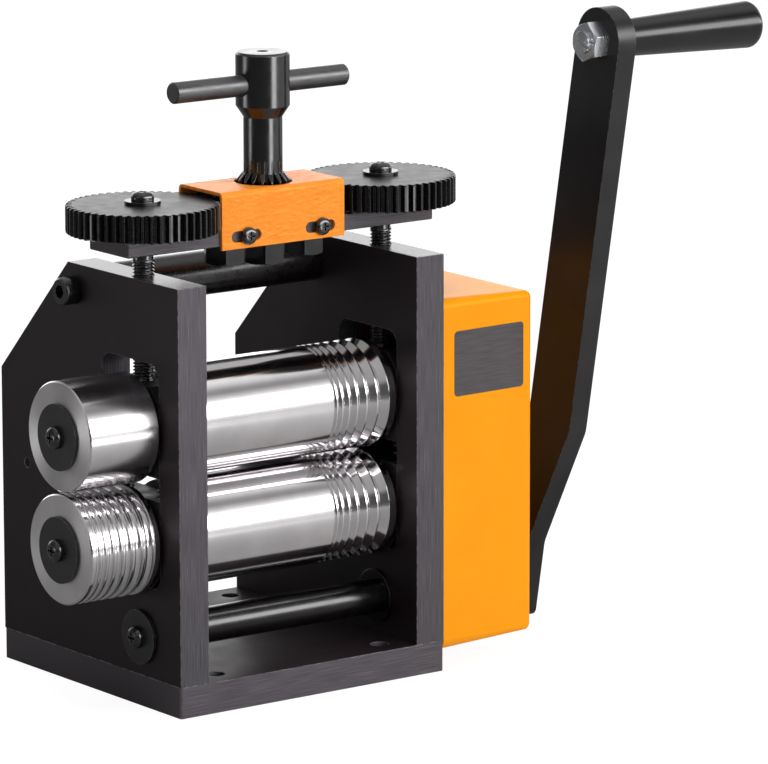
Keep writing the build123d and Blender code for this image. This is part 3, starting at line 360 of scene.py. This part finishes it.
def raised(tree, shader, height, depth, normal=None):
    """Lets a grain lift the surface by up to depth, in metres."""
    bump = tree.nodes.new("ShaderNodeBump")
    bump.inputs["Strength"].default_value = 1.0
    bump.inputs["Distance"].default_value = depth
    tree.links.new(height, bump.inputs["Height"])
    if normal is not None:
        tree.links.new(normal, bump.inputs["Normal"])
    tree.links.new(bump.outputs["Normal"], shader.inputs["Normal"])


def dress(finish, *names):
    """Gives pieces of the drawing their finish."""
    for name in names:
        for place in nodes_of_mill[name].material_slots:
            place.material = finish
    print(finish.name, "on", len(names), "pieces")


# %% [markdown]
# ## Blackened plates
# The side plates, the base and the bridge bar are sawn from rolled steel, blackened and lacquered. Their broad
# faces are near black with a faint warm tone. The narrow edges were milled, and the cutter left fine streaks
# that take the black less deeply. Their grey is partly that milled finish and partly a painted reflection of
# the front soft box. On the base and the bar, the ends that look along X get only half that grey, which is
# painted shade. One material can do both: it asks which way the surface faces, and runs the streaks along
# each edge.

# %% Mix the plate finish
def blackened_plate(name, thin_way, lit_milled_dark, lit_milled_light):
    """thin_way is the axis across the plate: faces that look along it are black, the others milled grey, partly
    a painted reflection of the front lamp, and those that look along X are half as grey, a painted shade."""
    finish, tree, shader = new_finish(name, 0.45, sheen_level=0.38)
    shader.inputs["Specular Tint"].default_value = (1.0, 0.88, 0.96, 1)
    where = place_on_mill(tree)
    cloud = grain(tree, where, 38.0, 4.0)
    fine = grain(tree, where, 1500.0, 2.0)
    along_edge = (2600, 2600, 55) if thin_way == "X" else (55, 2600, 2600)
    streaks = grain(tree, place_on_mill(tree, along_edge), 1.0, 2.0)
    rounded, edge = soft_edges(tree, 0.0006)
    # Faces that look along X get only half the milled grey. This is painted shade: those ends get less light.
    endwise_painted_shade = stretch(tree, facing(tree, "X"), 0, 1, 0, 0.52)
    # The milled grey is partly the milled finish and partly a painted reflection of the front soft box.
    milled_grey_with_painted_light = between(tree, maths(tree, "MAXIMUM", facing(tree, thin_way), endwise_painted_shade), 1.0, 0.0)
    broad_face = two_colours(tree, between(tree, cloud, 0.0, 1.0), colour(17, 10, 13), colour(25, 17, 20))
    milled_face_with_painted_light = two_colours(tree, between(tree, streaks, 0.0, 1.0), lit_milled_dark, lit_milled_light)
    both_faces = two_colours(tree, milled_grey_with_painted_light, broad_face, milled_face_with_painted_light)
    rubbed = maths(tree, "MULTIPLY", edge, between(tree, grain(tree, where, 420.0, 3.0), 0.0, 1.0, 0.42, 0.6))
    tree.links.new(two_colours(tree, rubbed, both_faces, colour(150, 148, 150)), shader.inputs["Base Color"])
    broad_gloss = between(tree, cloud, 0.4, 0.54)
    milled_gloss = between(tree, streaks, 0.2, 0.28)
    tree.links.new(switched(tree, milled_grey_with_painted_light, broad_gloss, milled_gloss), shader.inputs["Roughness"])
    raised(tree, shader, fine, 0.000012, rounded)
    return finish


# The milled greys below are partly painted reflection of the front lamp on the narrow edges.
plate_finish = blackened_plate("blackened_plate", "X", colour(62, 60, 64), colour(90, 87, 92))
base_finish = blackened_plate("blackened_base", "Z", colour(70, 66, 71), colour(98, 94, 99))
bar_finish = blackened_plate("blackened_bar", "Z", colour(64, 62, 65), colour(92, 89, 93))
dress(plate_finish, "left_side_plate", "right_side_plate")
dress(base_finish, "base_plate")
dress(bar_finish, "bridge_bar")

# %% [markdown]
# ## Lacquered crank arm
# The crank arm is flat bar under thick lacquer, glossier than the plates and worn to metal along its edges
# where the hand brushes past it. The wear needs two masks: one for the edges, and a coarse grain that lets it
# come and go.

# %% Mix the black lacquer
def black_lacquer(name, dark, light, gloss, wear, sheen_level):
    finish, tree, shader = new_finish(name, gloss, sheen_level=sheen_level)
    where = place_on_mill(tree)
    blotch = grain(tree, where, 45.0, 4.0)
    tooth = grain(tree, where, 1300.0, 2.0)
    normal, corner = soft_edges(tree, 0.0006)
    tone = two_colours(tree, between(tree, blotch, 0.0, 1.0), dark, light)
    chips = maths(tree, "MULTIPLY", corner, between(tree, grain(tree, where, 500.0), 0.0, wear, 0.45, 0.62))
    tree.links.new(two_colours(tree, chips, tone, colour(150, 148, 146)), shader.inputs["Base Color"])
    tree.links.new(between(tree, blotch, gloss - 0.05, gloss + 0.08), shader.inputs["Roughness"])
    raised(tree, shader, tooth, 0.000010, normal)
    return finish


arm_finish = black_lacquer("arm_lacquer", colour(12, 9, 10), colour(20, 17, 18), 0.33, 0.55, 0.4)
dress(arm_finish, "crank_arm")

# %% [markdown]
# ## Polished rollers
# Rollers are ground and polished, because every mark on them prints itself into the gold or silver. What
# remains is a very fine lay of lines round the axis. We stretch the grain so that it is thin along the axis
# and long round it, and keep it faint: just enough to widen the reflections. The lines also pull every
# reflection out sideways, which the shader's anisotropy does. The plain side roller is fine turned and pulls
# more. The end faces are only turned, not polished, so they are duller. End gloss is their roughness.

# %% Mix the roller steel
def turned_steel(name, tone, gloss, line_depth, across, end_gloss=None, pull=0.55):
    """Bright steel with tool lines that run round the X axis and pull reflections out along it by pull."""
    finish, tree, shader = new_finish(name, gloss, metal=1.0)
    shader.inputs["Anisotropic"].default_value = pull
    shader.inputs["Anisotropic Rotation"].default_value = 0.25
    round_axis = tree.nodes.new("ShaderNodeTangent")
    round_axis.direction_type = "RADIAL"
    round_axis.axis = "X"
    tree.links.new(round_axis.outputs["Tangent"], shader.inputs["Tangent"])
    lines_place = place_on_mill(tree, (across, 40, 40))
    tool_lines = grain(tree, lines_place, 1.0, 3.0)
    stains = grain(tree, place_on_mill(tree), 60.0, 3.0)
    normal = rounded_normal(tree, 0.00025)
    dull = [c * 0.88 for c in tone[:3]] + [1.0]
    tree.links.new(two_colours(tree, between(tree, stains, 0.0, 1.0), tone, dull), shader.inputs["Base Color"])
    lines_gloss = between(tree, tool_lines, gloss * 0.8, gloss * 1.2)
    if end_gloss is not None:
        on_end = stretch(tree, facing(tree, "X"), 0.9, 0.97, 0.0, 1.0)
        lines_gloss = switched(tree, on_end, lines_gloss, end_gloss)
    tree.links.new(lines_gloss, shader.inputs["Roughness"])
    raised(tree, shader, tool_lines, line_depth, normal)
    return finish


roller_finish = turned_steel("polished_roller_steel", colour(223, 220, 222), 0.12, 0.000001, 6000, 0.42)
side_roller_finish = turned_steel("fine_turned_side_roller", colour(222, 219, 221), 0.19, 0.0000004, 6000, 0.42,
                                  0.85)
dress(roller_finish, "upper_roller", "lower_roller", "lower_side_roller")
dress(side_roller_finish, "upper_side_roller")

# %% [markdown]
# ## Black oxide steel
# Screws, rods, gears and the T-handle are dipped in a hot black bath. It leaves a skin of magnetite: black,
# thin and dense, glossy with oil on turned surfaces and satin on cut teeth. Bright steel shows through at the
# corners of the teeth. That bright corner colour is partly wear and partly a painted glint on the crests, and
# on the disc washers the bright rim is a painted highlight. Magnetite mirrors more light than paint does, so
# its specular level is raised over a very dark colour: that gives the hard long highlights that plain black
# paint doesn't have.

# %% Mix the black oxides
def black_oxide(name, tone, gloss, sheen_level, wear_and_glint_tone, wear_and_glint_share, corner_radius=0.0004,
                top_gloss=None):
    """Thin black skin with worn corners, which on the gears and washers also stand for a painted glint;
    top_gloss is the roughness of faces that look up or down.
    """
    finish, tree, shader = new_finish(name, gloss, sheen_level=sheen_level)
    where = place_on_mill(tree)
    bloom = grain(tree, where, 160.0, 4.0)
    tooth = grain(tree, where, 2200.0, 2.0)
    normal, corner = soft_edges(tree, corner_radius)
    light = [c * 1.7 for c in tone[:3]] + [1.0]
    skin = two_colours(tree, between(tree, bloom, 0.0, 1.0), tone, light)
    rubbing_and_glint_grain = between(tree, grain(tree, where, 700.0), 0.0, wear_and_glint_share, 0.35, 0.6)
    # Bright corners: worn steel, and on gears and washers also a painted glint.
    wear_and_painted_glint = maths(tree, "MULTIPLY", corner, rubbing_and_glint_grain)
    tree.links.new(two_colours(tree, wear_and_painted_glint, skin, wear_and_glint_tone), shader.inputs["Base Color"])
    worn_gloss = between(tree, bloom, gloss * 0.8, gloss * 1.25)
    if top_gloss is not None:
        on_top = stretch(tree, facing(tree, "Z"), 0.9, 0.97, 0.0, 1.0)
        worn_gloss = switched(tree, on_top, worn_gloss, between(tree, bloom, top_gloss * 0.9, top_gloss * 1.1))
    tree.links.new(worn_gloss, shader.inputs["Roughness"])
    raised(tree, shader, tooth, 0.000006, normal)
    return finish


rod_finish = black_oxide("oiled_black_rod", colour(9, 7, 9), 0.2, 0.52, colour(110, 108, 108), 0.5)
screw_finish = black_oxide("oiled_black_screw", colour(12, 11, 12), 0.17, 0.85, colour(190, 187, 188), 0.9,
                           0.0002)
# On the gear teeth the bright corner colour is partly wear and partly a painted glint on the crests.
gear_finish = black_oxide("satin_black_gear", colour(11, 9, 10), 0.2, 0.42, colour(170, 168, 168), 0.6,
                          0.00014, 0.37)
handle_finish = black_oxide("satin_black_handle", colour(11, 10, 11), 0.2, 0.75, colour(120, 118, 118), 0.6)
# The washers' bright worn rim is a painted highlight: it stands in for the thin glint round each rim.
washer_finish = black_oxide("black_disc_washer", colour(24, 22, 23), 0.34, 0.5, colour(150, 148, 148), 0.9,
                            0.0003)
tie_finish = black_oxide("black_tie_rod", colour(15, 12, 14), 0.27, 0.42, colour(110, 108, 108), 0.5)
satin_finish = black_oxide("satin_black_bar", colour(36, 34, 36), 0.37, 0.8, colour(120, 118, 118), 0.6)
block_finish = black_oxide("dull_black_block", colour(16, 14, 15), 0.5, 0.25, colour(110, 108, 108), 0.4)
dress(rod_finish, "crank_shaft", "crank_shaft_bushes", "idler_bolts", "pinion_nut")
dress(tie_finish, "tie_rod")
dress(satin_finish, "tommy_bar")
dress(block_finish, "left_upper_block", "right_upper_block", "left_lower_block", "right_lower_block")
dress(washer_finish, "crank_shaft_washer", "upper_end_washers", "lower_end_washers")
dress(gear_finish, "left_screw_gear", "right_screw_gear", "left_idler_gear", "right_idler_gear",
      "upper_roller_gear", "lower_roller_gear", "drive_gear", "crank_pinion")
dress(handle_finish, "handle_pinion", "crank_arm_bolt", "left_gear_washer", "right_gear_washer", "base_screws")

# %% [markdown]
# ## Orange powder coat and orange plastic
# The bent guard over the gears is powder coated: the powder melts into a skin with a fine orange-peel ripple,
# drawn out along the bends. The big cover is moulded plastic, smoother and deeper in colour. Two materials with
# one colour would make them look like one piece, so each gets its own ripple, gloss and tone.

# %% Mix the two oranges
guard_finish, tree, shader = new_finish("orange_powder_coat", 0.34, sheen_level=0.24)
here = place_on_mill(tree)
peel = grain(tree, place_on_mill(tree, (0.5, 1, 1)), 520.0, 2.0)
drift = grain(tree, here, 60.0, 3.0)
rounded = rounded_normal(tree, 0.0005)
painted(tree, shader, drift, colour(253, 143, 36), colour(255, 154, 50))
tree.links.new(between(tree, peel, 0.28, 0.42), shader.inputs["Roughness"])
raised(tree, shader, peel, 0.0006, rounded)
dress(guard_finish, "gear_guard")

cover_finish, tree, shader = new_finish("orange_moulded_cover", 0.36, sheen_level=0.15)
here = place_on_mill(tree)
mould_grain = grain(tree, here, 900.0, 2.0)
drift = grain(tree, here, 25.0, 2.0)
rounded = rounded_normal(tree, 0.0008)
painted(tree, shader, drift, colour(252, 156, 6), colour(255, 163, 12))
tree.links.new(between(tree, mould_grain, 0.3, 0.42), shader.inputs["Roughness"])
raised(tree, shader, mould_grain, 0.000014, rounded)
dress(cover_finish, "gear_cover")

# %% [markdown]
# ## Grip, bushes, keys and springs
# The grip is glossy black plastic with a faint flow pattern from the mould. The bushes are bronze. Keys, clips
# and springs are bright steel, seen only by who looks into the mill, but they deserve their own finish too.

# %% Mix the small finishes
grip_finish, tree, shader = new_finish("black_grip_plastic", 0.2, sheen_level=0.38)
here = place_on_mill(tree)
flow = grain(tree, place_on_mill(tree, (30, 220, 220)), 1.0, 3.0)
dimples = grain(tree, here, 520.0, 2.0)
rounded = rounded_normal(tree, 0.0006)
painted(tree, shader, flow, colour(6, 5, 6), colour(11, 10, 11))
tree.links.new(between(tree, flow, 0.16, 0.27), shader.inputs["Roughness"])
raised(tree, shader, dimples, 0.00001, rounded)
dress(grip_finish, "crank_grip")

bronze_finish = turned_steel("turned_bronze", colour(196, 146, 84), 0.3, 0.000006, 2500)
bright_finish = turned_steel("bright_machined_steel", colour(190, 190, 192), 0.28, 0.000005, 2500)
zinc_finish = turned_steel("bright_zinc_plate", colour(215, 217, 222), 0.24, 0.000003, 1800)
spring_finish = turned_steel("oiled_spring_wire", colour(120, 120, 124), 0.3, 0.000003, 3000)
dress(bronze_finish, "upper_journal_bushes", "lower_journal_bushes")
dress(bright_finish, "upper_roller_keys", "lower_roller_keys", "pinion_key", "idler_clips")
dress(zinc_finish, "grip_nut", "crank_arm_washer")
dress(spring_finish, "lift_springs")

# %% [markdown]
# ## Turning small parts
# Screws are turned parts, and a lathe is easy to imitate: a list of rings, each with a height and a radius.
# The radius may also change round the ring, which is all that a thread or a knurl is. So one function makes
# plain shanks, screw threads and knurled heads alike.

# %% A lathe in code
mm = 0.001
points_round = 48
rings_per_turn = 10


def lathe(name, rings, around=points_round):
    """Turned mesh about Z. A ring is (height, radius) in mm; the radius may depend on the turn, 0 to 1."""
    points, faces = [], []
    for height, radius in rings:
        for step in range(around):
            turn = step / around
            r = radius(turn) if callable(radius) else radius
            points.append((r * cos(2 * pi * turn) * mm, r * sin(2 * pi * turn) * mm, height * mm))
    for ring in range(len(rings) - 1):
        for step in range(around):
            a, b = ring * around + step, ring * around + (step + 1) % around
            faces.append((a, b, b + around, a + around))
    faces.append(tuple(reversed(range(around))))
    faces.append(tuple(range((len(rings) - 1) * around, len(rings) * around)))
    mesh = bpy.data.meshes.new(name)
    mesh.from_pydata(points, [], faces)
    mesh.shade_smooth()
    mesh.set_sharp_from_angle(angle=radians(32))
    return mesh


def thread_rings(start, end, crest, depth, pitch, steps=rings_per_turn):
    """Rings of a screw thread: each turn of the ring moves the groove up by one pitch."""
    rings = []
    count = int((end - start) / pitch * steps)
    for number in range(count + 1):
        height = start + (end - start) * number / count
        fade = min(1.0, (height - start) / pitch, (end - height) / pitch)

        def radius(turn, height=height, fade=fade):
            phase = (height / pitch - turn) % 1.0
            groove = max(0.0, min(1.0, 1.35 * (1 - abs(2 * phase - 1)) - 0.12))
            return crest - depth * fade * groove

        rings.append((height, radius))
    return rings


print("one turn of a thread uses", rings_per_turn * points_round, "points")

# %% [markdown]
# ## Cutting the driver recess
# The pan screws have a cross for the driver, and socket screws a hexagon. A boolean modifier cuts them as a
# punch would: the punch is a tapered blade or a hexagon, and the cut mesh is kept as a new mesh.

# %% Punches and copies
def block(name, corners_low, corners_high, foot=1.0):
    """Box between two corners in mm; foot narrows its lower end."""
    (x0, y0, z0), (x1, y1, z1) = corners_low, corners_high
    low = [(x * foot, y * foot, z0) for x, y in ((x0, y0), (x1, y0), (x1, y1), (x0, y1))]
    high = [(x, y, z1) for x, y in ((x0, y0), (x1, y0), (x1, y1), (x0, y1))]
    mesh = bpy.data.meshes.new(name)
    mesh.from_pydata([(x * mm, y * mm, z * mm) for x, y, z in low + high], [],
                     [(3, 2, 1, 0), (4, 5, 6, 7), (0, 1, 5, 4), (1, 2, 6, 5), (2, 3, 7, 6), (3, 0, 4, 7)])
    return mesh


def punched(mesh, punches):
    """The mesh with each punch cut out of it."""
    work = bpy.data.objects.new("blank", mesh)
    bpy.context.scene.collection.objects.link(work)
    tools = []
    for punch in punches:
        tool = bpy.data.objects.new("punch", punch)
        bpy.context.scene.collection.objects.link(tool)
        tools.append(tool)
        cut = work.modifiers.new("cut", "BOOLEAN")
        cut.operation = "DIFFERENCE"
        cut.solver = "EXACT"
        cut.object = tool
    ready = work.evaluated_get(bpy.context.evaluated_depsgraph_get())
    result = bpy.data.meshes.new_from_object(ready)
    for thing in [work, *tools]:
        bpy.data.objects.remove(thing)
    result.shade_smooth()
    result.set_sharp_from_angle(angle=radians(32))
    return result


def put(name, mesh, places, body, finish, material_slot, *stands_for):
    """Copies of a mesh at each place become one piece that rides on a body of the mill."""
    joined = bmesh.new()
    for place in places:
        one = mesh.copy()
        one.transform(place)
        joined.from_mesh(one)
        bpy.data.meshes.remove(one)
    whole = bpy.data.meshes.new(name)
    joined.to_mesh(whole)
    joined.free()
    whole.materials.clear()
    whole.materials.append(finish)
    piece = bpy.data.objects.new(name, whole)
    bpy.context.scene.collection.objects.link(piece)
    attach(piece, body)
    if stands_for:
        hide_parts(*stands_for)
    print(name, "has", len(whole.polygons), "faces at", len(places), "places")


def put_screws(name, mesh, places, body, stands_for):
    """Puts black screws where the drawing has plain ones."""
    put(name, mesh, places, body, screw_finish, "black_oxide", stands_for)


def aimed(x, y, z, direction):
    """A place in mm whose Z axis points along direction."""
    turn = Vector(direction).to_track_quat("Z", "Y").to_matrix().to_4x4()
    return Matrix.Translation(Vector((x, y, z)) * mm) @ turn


# %% [markdown]
# ## Pan head screws
# The head is a low dome on a straight rim, with a cross recess. The same shape comes in four sizes on the
# mill, so one function makes it from the head's radius and height. Each size is made once and copied to all
# its places.

# %% Make the pan head screws
def pan_screw(name, shank, grip, head, height):
    """The shank reaches grip deep; shank and head are radii, and height is the head's."""
    rim = 0.36 * height
    rings = [(-grip, shank * 0.8), (-grip + 0.5, shank), (0, shank)]
    rings += [(0, head - 0.15), (0.15, head), (rim, head)]
    for step in range(1, 9):
        bend = step / 8 * pi / 2
        rings.append((rim + 0.64 * height * sin(bend), 0.42 * head + 0.58 * head * cos(bend)))
    blank = lathe(name, rings)
    deep, wide, long = 0.62 * height, 0.13 * head, 0.58 * head
    blades = [block("blade", (-long, -wide, height - deep), (long, wide, height + 1), 0.72),
              block("blade", (-wide, -long, height - deep), (wide, long, height + 1), 0.72)]
    broad = wide * 1.9
    centre = block("blade", (-broad, -broad, height - deep * 1.05), (broad, broad, height + 1), 0.3)
    centre.transform(Matrix.Rotation(pi / 4, 4, "Z"))
    return punched(blank, [*blades, centre])


column_y = -33.0
column_x = 64.5
lower_z, upper_z = 74.5, 124.7
crank_y, crank_z = -39.5, 31.428
left, right, ahead, behind, up = (-1, 0, 0), (1, 0, 0), (0, -1, 0), (0, 1, 0), (0, 0, 1)
side_washer_x = -110.9
lower_gear_end_x, upper_gear_end_x = 107.2, 90.7
shaft_washer_x = -73.8
end_screw = pan_screw("end_screw", 3.0, 17.1, 5.0, 3.6)
lower_places = [aimed(side_washer_x, column_y, lower_z, left),
                aimed(lower_gear_end_x, column_y, lower_z, right)]
upper_places = [aimed(side_washer_x, column_y, upper_z, left),
                aimed(upper_gear_end_x, column_y, upper_z, right)]
put_screws("lower_end_pan_screws", end_screw, lower_places, "lower_roller_set", "lower_end_screws")
put_screws("upper_end_pan_screws", end_screw, upper_places, "upper_roller_set", "upper_end_screws")
shaft_place = aimed(shaft_washer_x, crank_y, crank_z, left)
put_screws("crank_shaft_pan_screw", end_screw, [shaft_place], "crank", "crank_shaft_screw")

gear_washer_z = 224.3
gear_screw = pan_screw("gear_screw", 2.0, 9.0, 5.1, 3.8)
for side, x in (("left", -column_x), ("right", column_x)):
    place = aimed(x, column_y, gear_washer_z, up)
    put_screws(f"{side}_gear_pan_screw", gear_screw, [place], f"{side}_screw", f"{side}_gear_screw")

guard_front_y, guard_rear_y = -49.5, -16.5
guard_screw_x, guard_screw_z = 20, 206.15
guard_screw = pan_screw("guard_screw", 2.0, 10.5, 3.9, 2.6)
guard_places = [aimed(x, y, guard_screw_z, way)
                for y, way in ((guard_front_y, ahead), (guard_rear_y, behind))
                for x in (-guard_screw_x, guard_screw_x)]
put_screws("guard_pan_screws", guard_screw, guard_places, "bridge", "guard_screws")

cover_seat_x = 120.2
cover_corner_ys, cover_corner_zs = (-61.4, -4.6), (19.2, 160.0)
cover_screw = pan_screw("cover_screw", 2.0, 60.2, 3.9, 2.6)
cover_places = [aimed(cover_seat_x, y, z, right) for y in cover_corner_ys for z in cover_corner_zs]
put_screws("cover_pan_screws", cover_screw, cover_places, "frame", "cover_screws")

# %% [markdown]
# ## Socket screws and the grub screw
# The tie rod is held by two socket head screws with knurled rims. A knurl is a fine zigzag round the rim that
# gives fingers a hold. The T-handle's head hides a small grub screw that clamps the cross bar.

# %% Make the socket screws
def hexagon(name, across_flats, low, high):
    """Six-sided punch between two heights."""
    return lathe(name, [(low, across_flats / sqrt(3)), (high, across_flats / sqrt(3))], 6)


def knurled(radius, ridges=56, cut=0.16):
    """A radius that zigzags round the rim."""
    return lambda turn: radius - cut * abs(2 * ((turn * ridges) % 1.0) - 1)


plate_face_x, tie_rod_y, tie_rod_z = 72, 10, 179
grip_rim = knurled(6.2)
cap_rings = [(-33, 3.2), (-32.4, 4), (0, 4), (0, 6.0), (0.3, grip_rim), (7.0, grip_rim), (7.5, 5.9), (8, 5.4)]
cap_blank = lathe("cap_screw", cap_rings, 224)
cap_screw = punched(cap_blank, [hexagon("hexagon_punch", 6, 4, 9)])
rod_places = [aimed(-plate_face_x, tie_rod_y, tie_rod_z, left),
              aimed(plate_face_x, tie_rod_y, tie_rod_z, right)]
put_screws("tie_rod_cap_screws", cap_screw, rod_places, "frame", "tie_rod_screws")

grub_blank = lathe("grub_screw", [(0, 2.2), *thread_rings(0.2, 5.6, 2.5, 0.35, 0.8), (6, 2.2)], 40)
grub_screw = punched(grub_blank, [hexagon("hexagon_punch", 2.5, 3.4, 7)])
grub_screw_z = 274.45
grub_place = aimed(0, column_y, grub_screw_z, up)
put_screws("handle_grub_screw", grub_screw, [grub_place], "handle", "tommy_grub_screw")

# %% [markdown]
# ## Adjusting screws
# The two adjusting screws show their thread twice: above the side plates, and in the slots over the bearing
# blocks. An M10 thread rises 1.5 mm in one turn. Modelled threads catch light like the real ones, and a
# texture wouldn't change the outline.

# %% Make the adjusting screws
tip_z, thread_start_z, thread_end_z, collar_z = 144.8, 144.9, 198.3, 198.4
spindle_z, seat_z, screw_top_z = 202.35, 210.5, 222.4
tip_radius, thread_radius, collar_radius, spindle_radius, seat_radius = 4.0, 4.95, 4.5, 3.75, 3.3
screw_outline = [(tip_z, tip_radius), *thread_rings(thread_start_z, thread_end_z, thread_radius, 0.85, 1.5),
                 (collar_z, collar_radius), (spindle_z, collar_radius), (spindle_z, spindle_radius),
                 (seat_z, spindle_radius), (seat_z, seat_radius), (screw_top_z, seat_radius)]
adjusting_screw = lathe("adjusting_screw", screw_outline)
for side, x in (("left", -column_x), ("right", column_x)):
    place = Matrix.Translation((x * mm, column_y * mm, 0))
    put_screws(f"{side}_threaded_screw", adjusting_screw, [place], f"{side}_screw", f"{side}_adjusting_screw")

# %% [markdown]
# ## The grip's bolt
# The grip turns on a long plated bolt. Its head is sunk in the grip's outer end, and its threaded end stands
# out of the nut by a millimetre and a half, with a slot for a screwdriver.

# %% Make the grip's bolt
crank_lean = radians(10.7)
crank_length = 255
grip_y = crank_y - crank_length * sin(crank_lean)
grip_z = crank_z + crank_length * cos(crank_lean)
bolt_start_x, head_start_x = 136.0, 225.0
bolt_length = head_start_x - bolt_start_x
bolt_rings = [(0, 4.3), *thread_rings(0.1, 24, 5.0, 0.8, 1.5), (bolt_length, 5.0), (bolt_length, 7.9),
              (bolt_length + 0.3, 8.0), (bolt_length + 5.4, 8.0), (bolt_length + 6.0, 7.3)]
bolt_blank = lathe("grip_bolt_blank", bolt_rings)
bolt_tools = [block("slot_punch", (-6, -0.75, -1), (6, 0.75, 1.3)),
              hexagon("hexagon_punch", 6, bolt_length + 2.5, bolt_length + 8)]
grip_bolt = punched(bolt_blank, bolt_tools)
slot_tilt = Matrix.Rotation(radians(25), 4, "Z")
put("grip_shoulder_bolt", grip_bolt, [aimed(bolt_start_x, grip_y, grip_z, right) @ slot_tilt],
    "crank", zinc_finish, "zinc_plate", "grip_bolt")

# %% [markdown]
# ## The rating plate
# A dark foil plate with rounded corners sits on the front of the cover. It is left bare. It is thinner than a
# business card, and tilted by the two degrees of the cover's moulding draft so that it lies flat on the face.

# %% Make the rating plate
def rounded_outline(width, height, radius, steps=8):
    """Points in mm round a rectangle with rounded corners."""
    points = []
    for corner, (side, level) in enumerate(((1, 1), (-1, 1), (-1, -1), (1, -1))):
        middle_x, middle_z = side * (width / 2 - radius), level * (height / 2 - radius)
        for step in range(steps + 1):
            angle = (corner + step / steps) * pi / 2
            points.append((middle_x + radius * cos(angle), middle_z + radius * sin(angle)))
    return points


def slab(name, outline, depth):
    """Flat piece in the XZ plane, depth thick toward -Y."""
    count = len(outline)
    points = [(x * mm, y * mm, z * mm) for y in (0, -depth) for x, z in outline]
    faces = [(a, a + count, (a + 1) % count + count, (a + 1) % count) for a in range(count)]
    mesh = bpy.data.meshes.new(name)
    mesh.from_pydata(points, [], [*faces, tuple(range(count, 2 * count)), tuple(reversed(range(count)))])
    mesh.validate()
    return mesh


draft = radians(2)
plate_middle_x, plate_middle_z = 98.2, 140.0
cover_edge_x, cover_edge_y = 72, -70
cover_face_y = cover_edge_y + (plate_middle_x - cover_edge_x) * tan(draft)
glue = 0.02
foil_place = (plate_middle_x * mm, (cover_face_y - glue) * mm, plate_middle_z * mm)
on_cover = Matrix.Translation(foil_place) @ Matrix.Rotation(draft, 4, "Z")

foil_finish, tree, shader = new_finish("dark_foil", 0.42, sheen_level=0.4)
brushed = grain(tree, place_on_mill(tree, (90, 90, 2600)), 1.0, 2.0)
painted(tree, shader, brushed, colour(50, 46, 48), colour(68, 63, 66))
tree.links.new(between(tree, brushed, 0.36, 0.5), shader.inputs["Roughness"])
raised(tree, shader, brushed, 0.000004)
put("bare_rating_plate", slab("foil", rounded_outline(40.1, 29.7, 1.9), 0.14), [on_cover],
    "frame", foil_finish, "black_plastic")
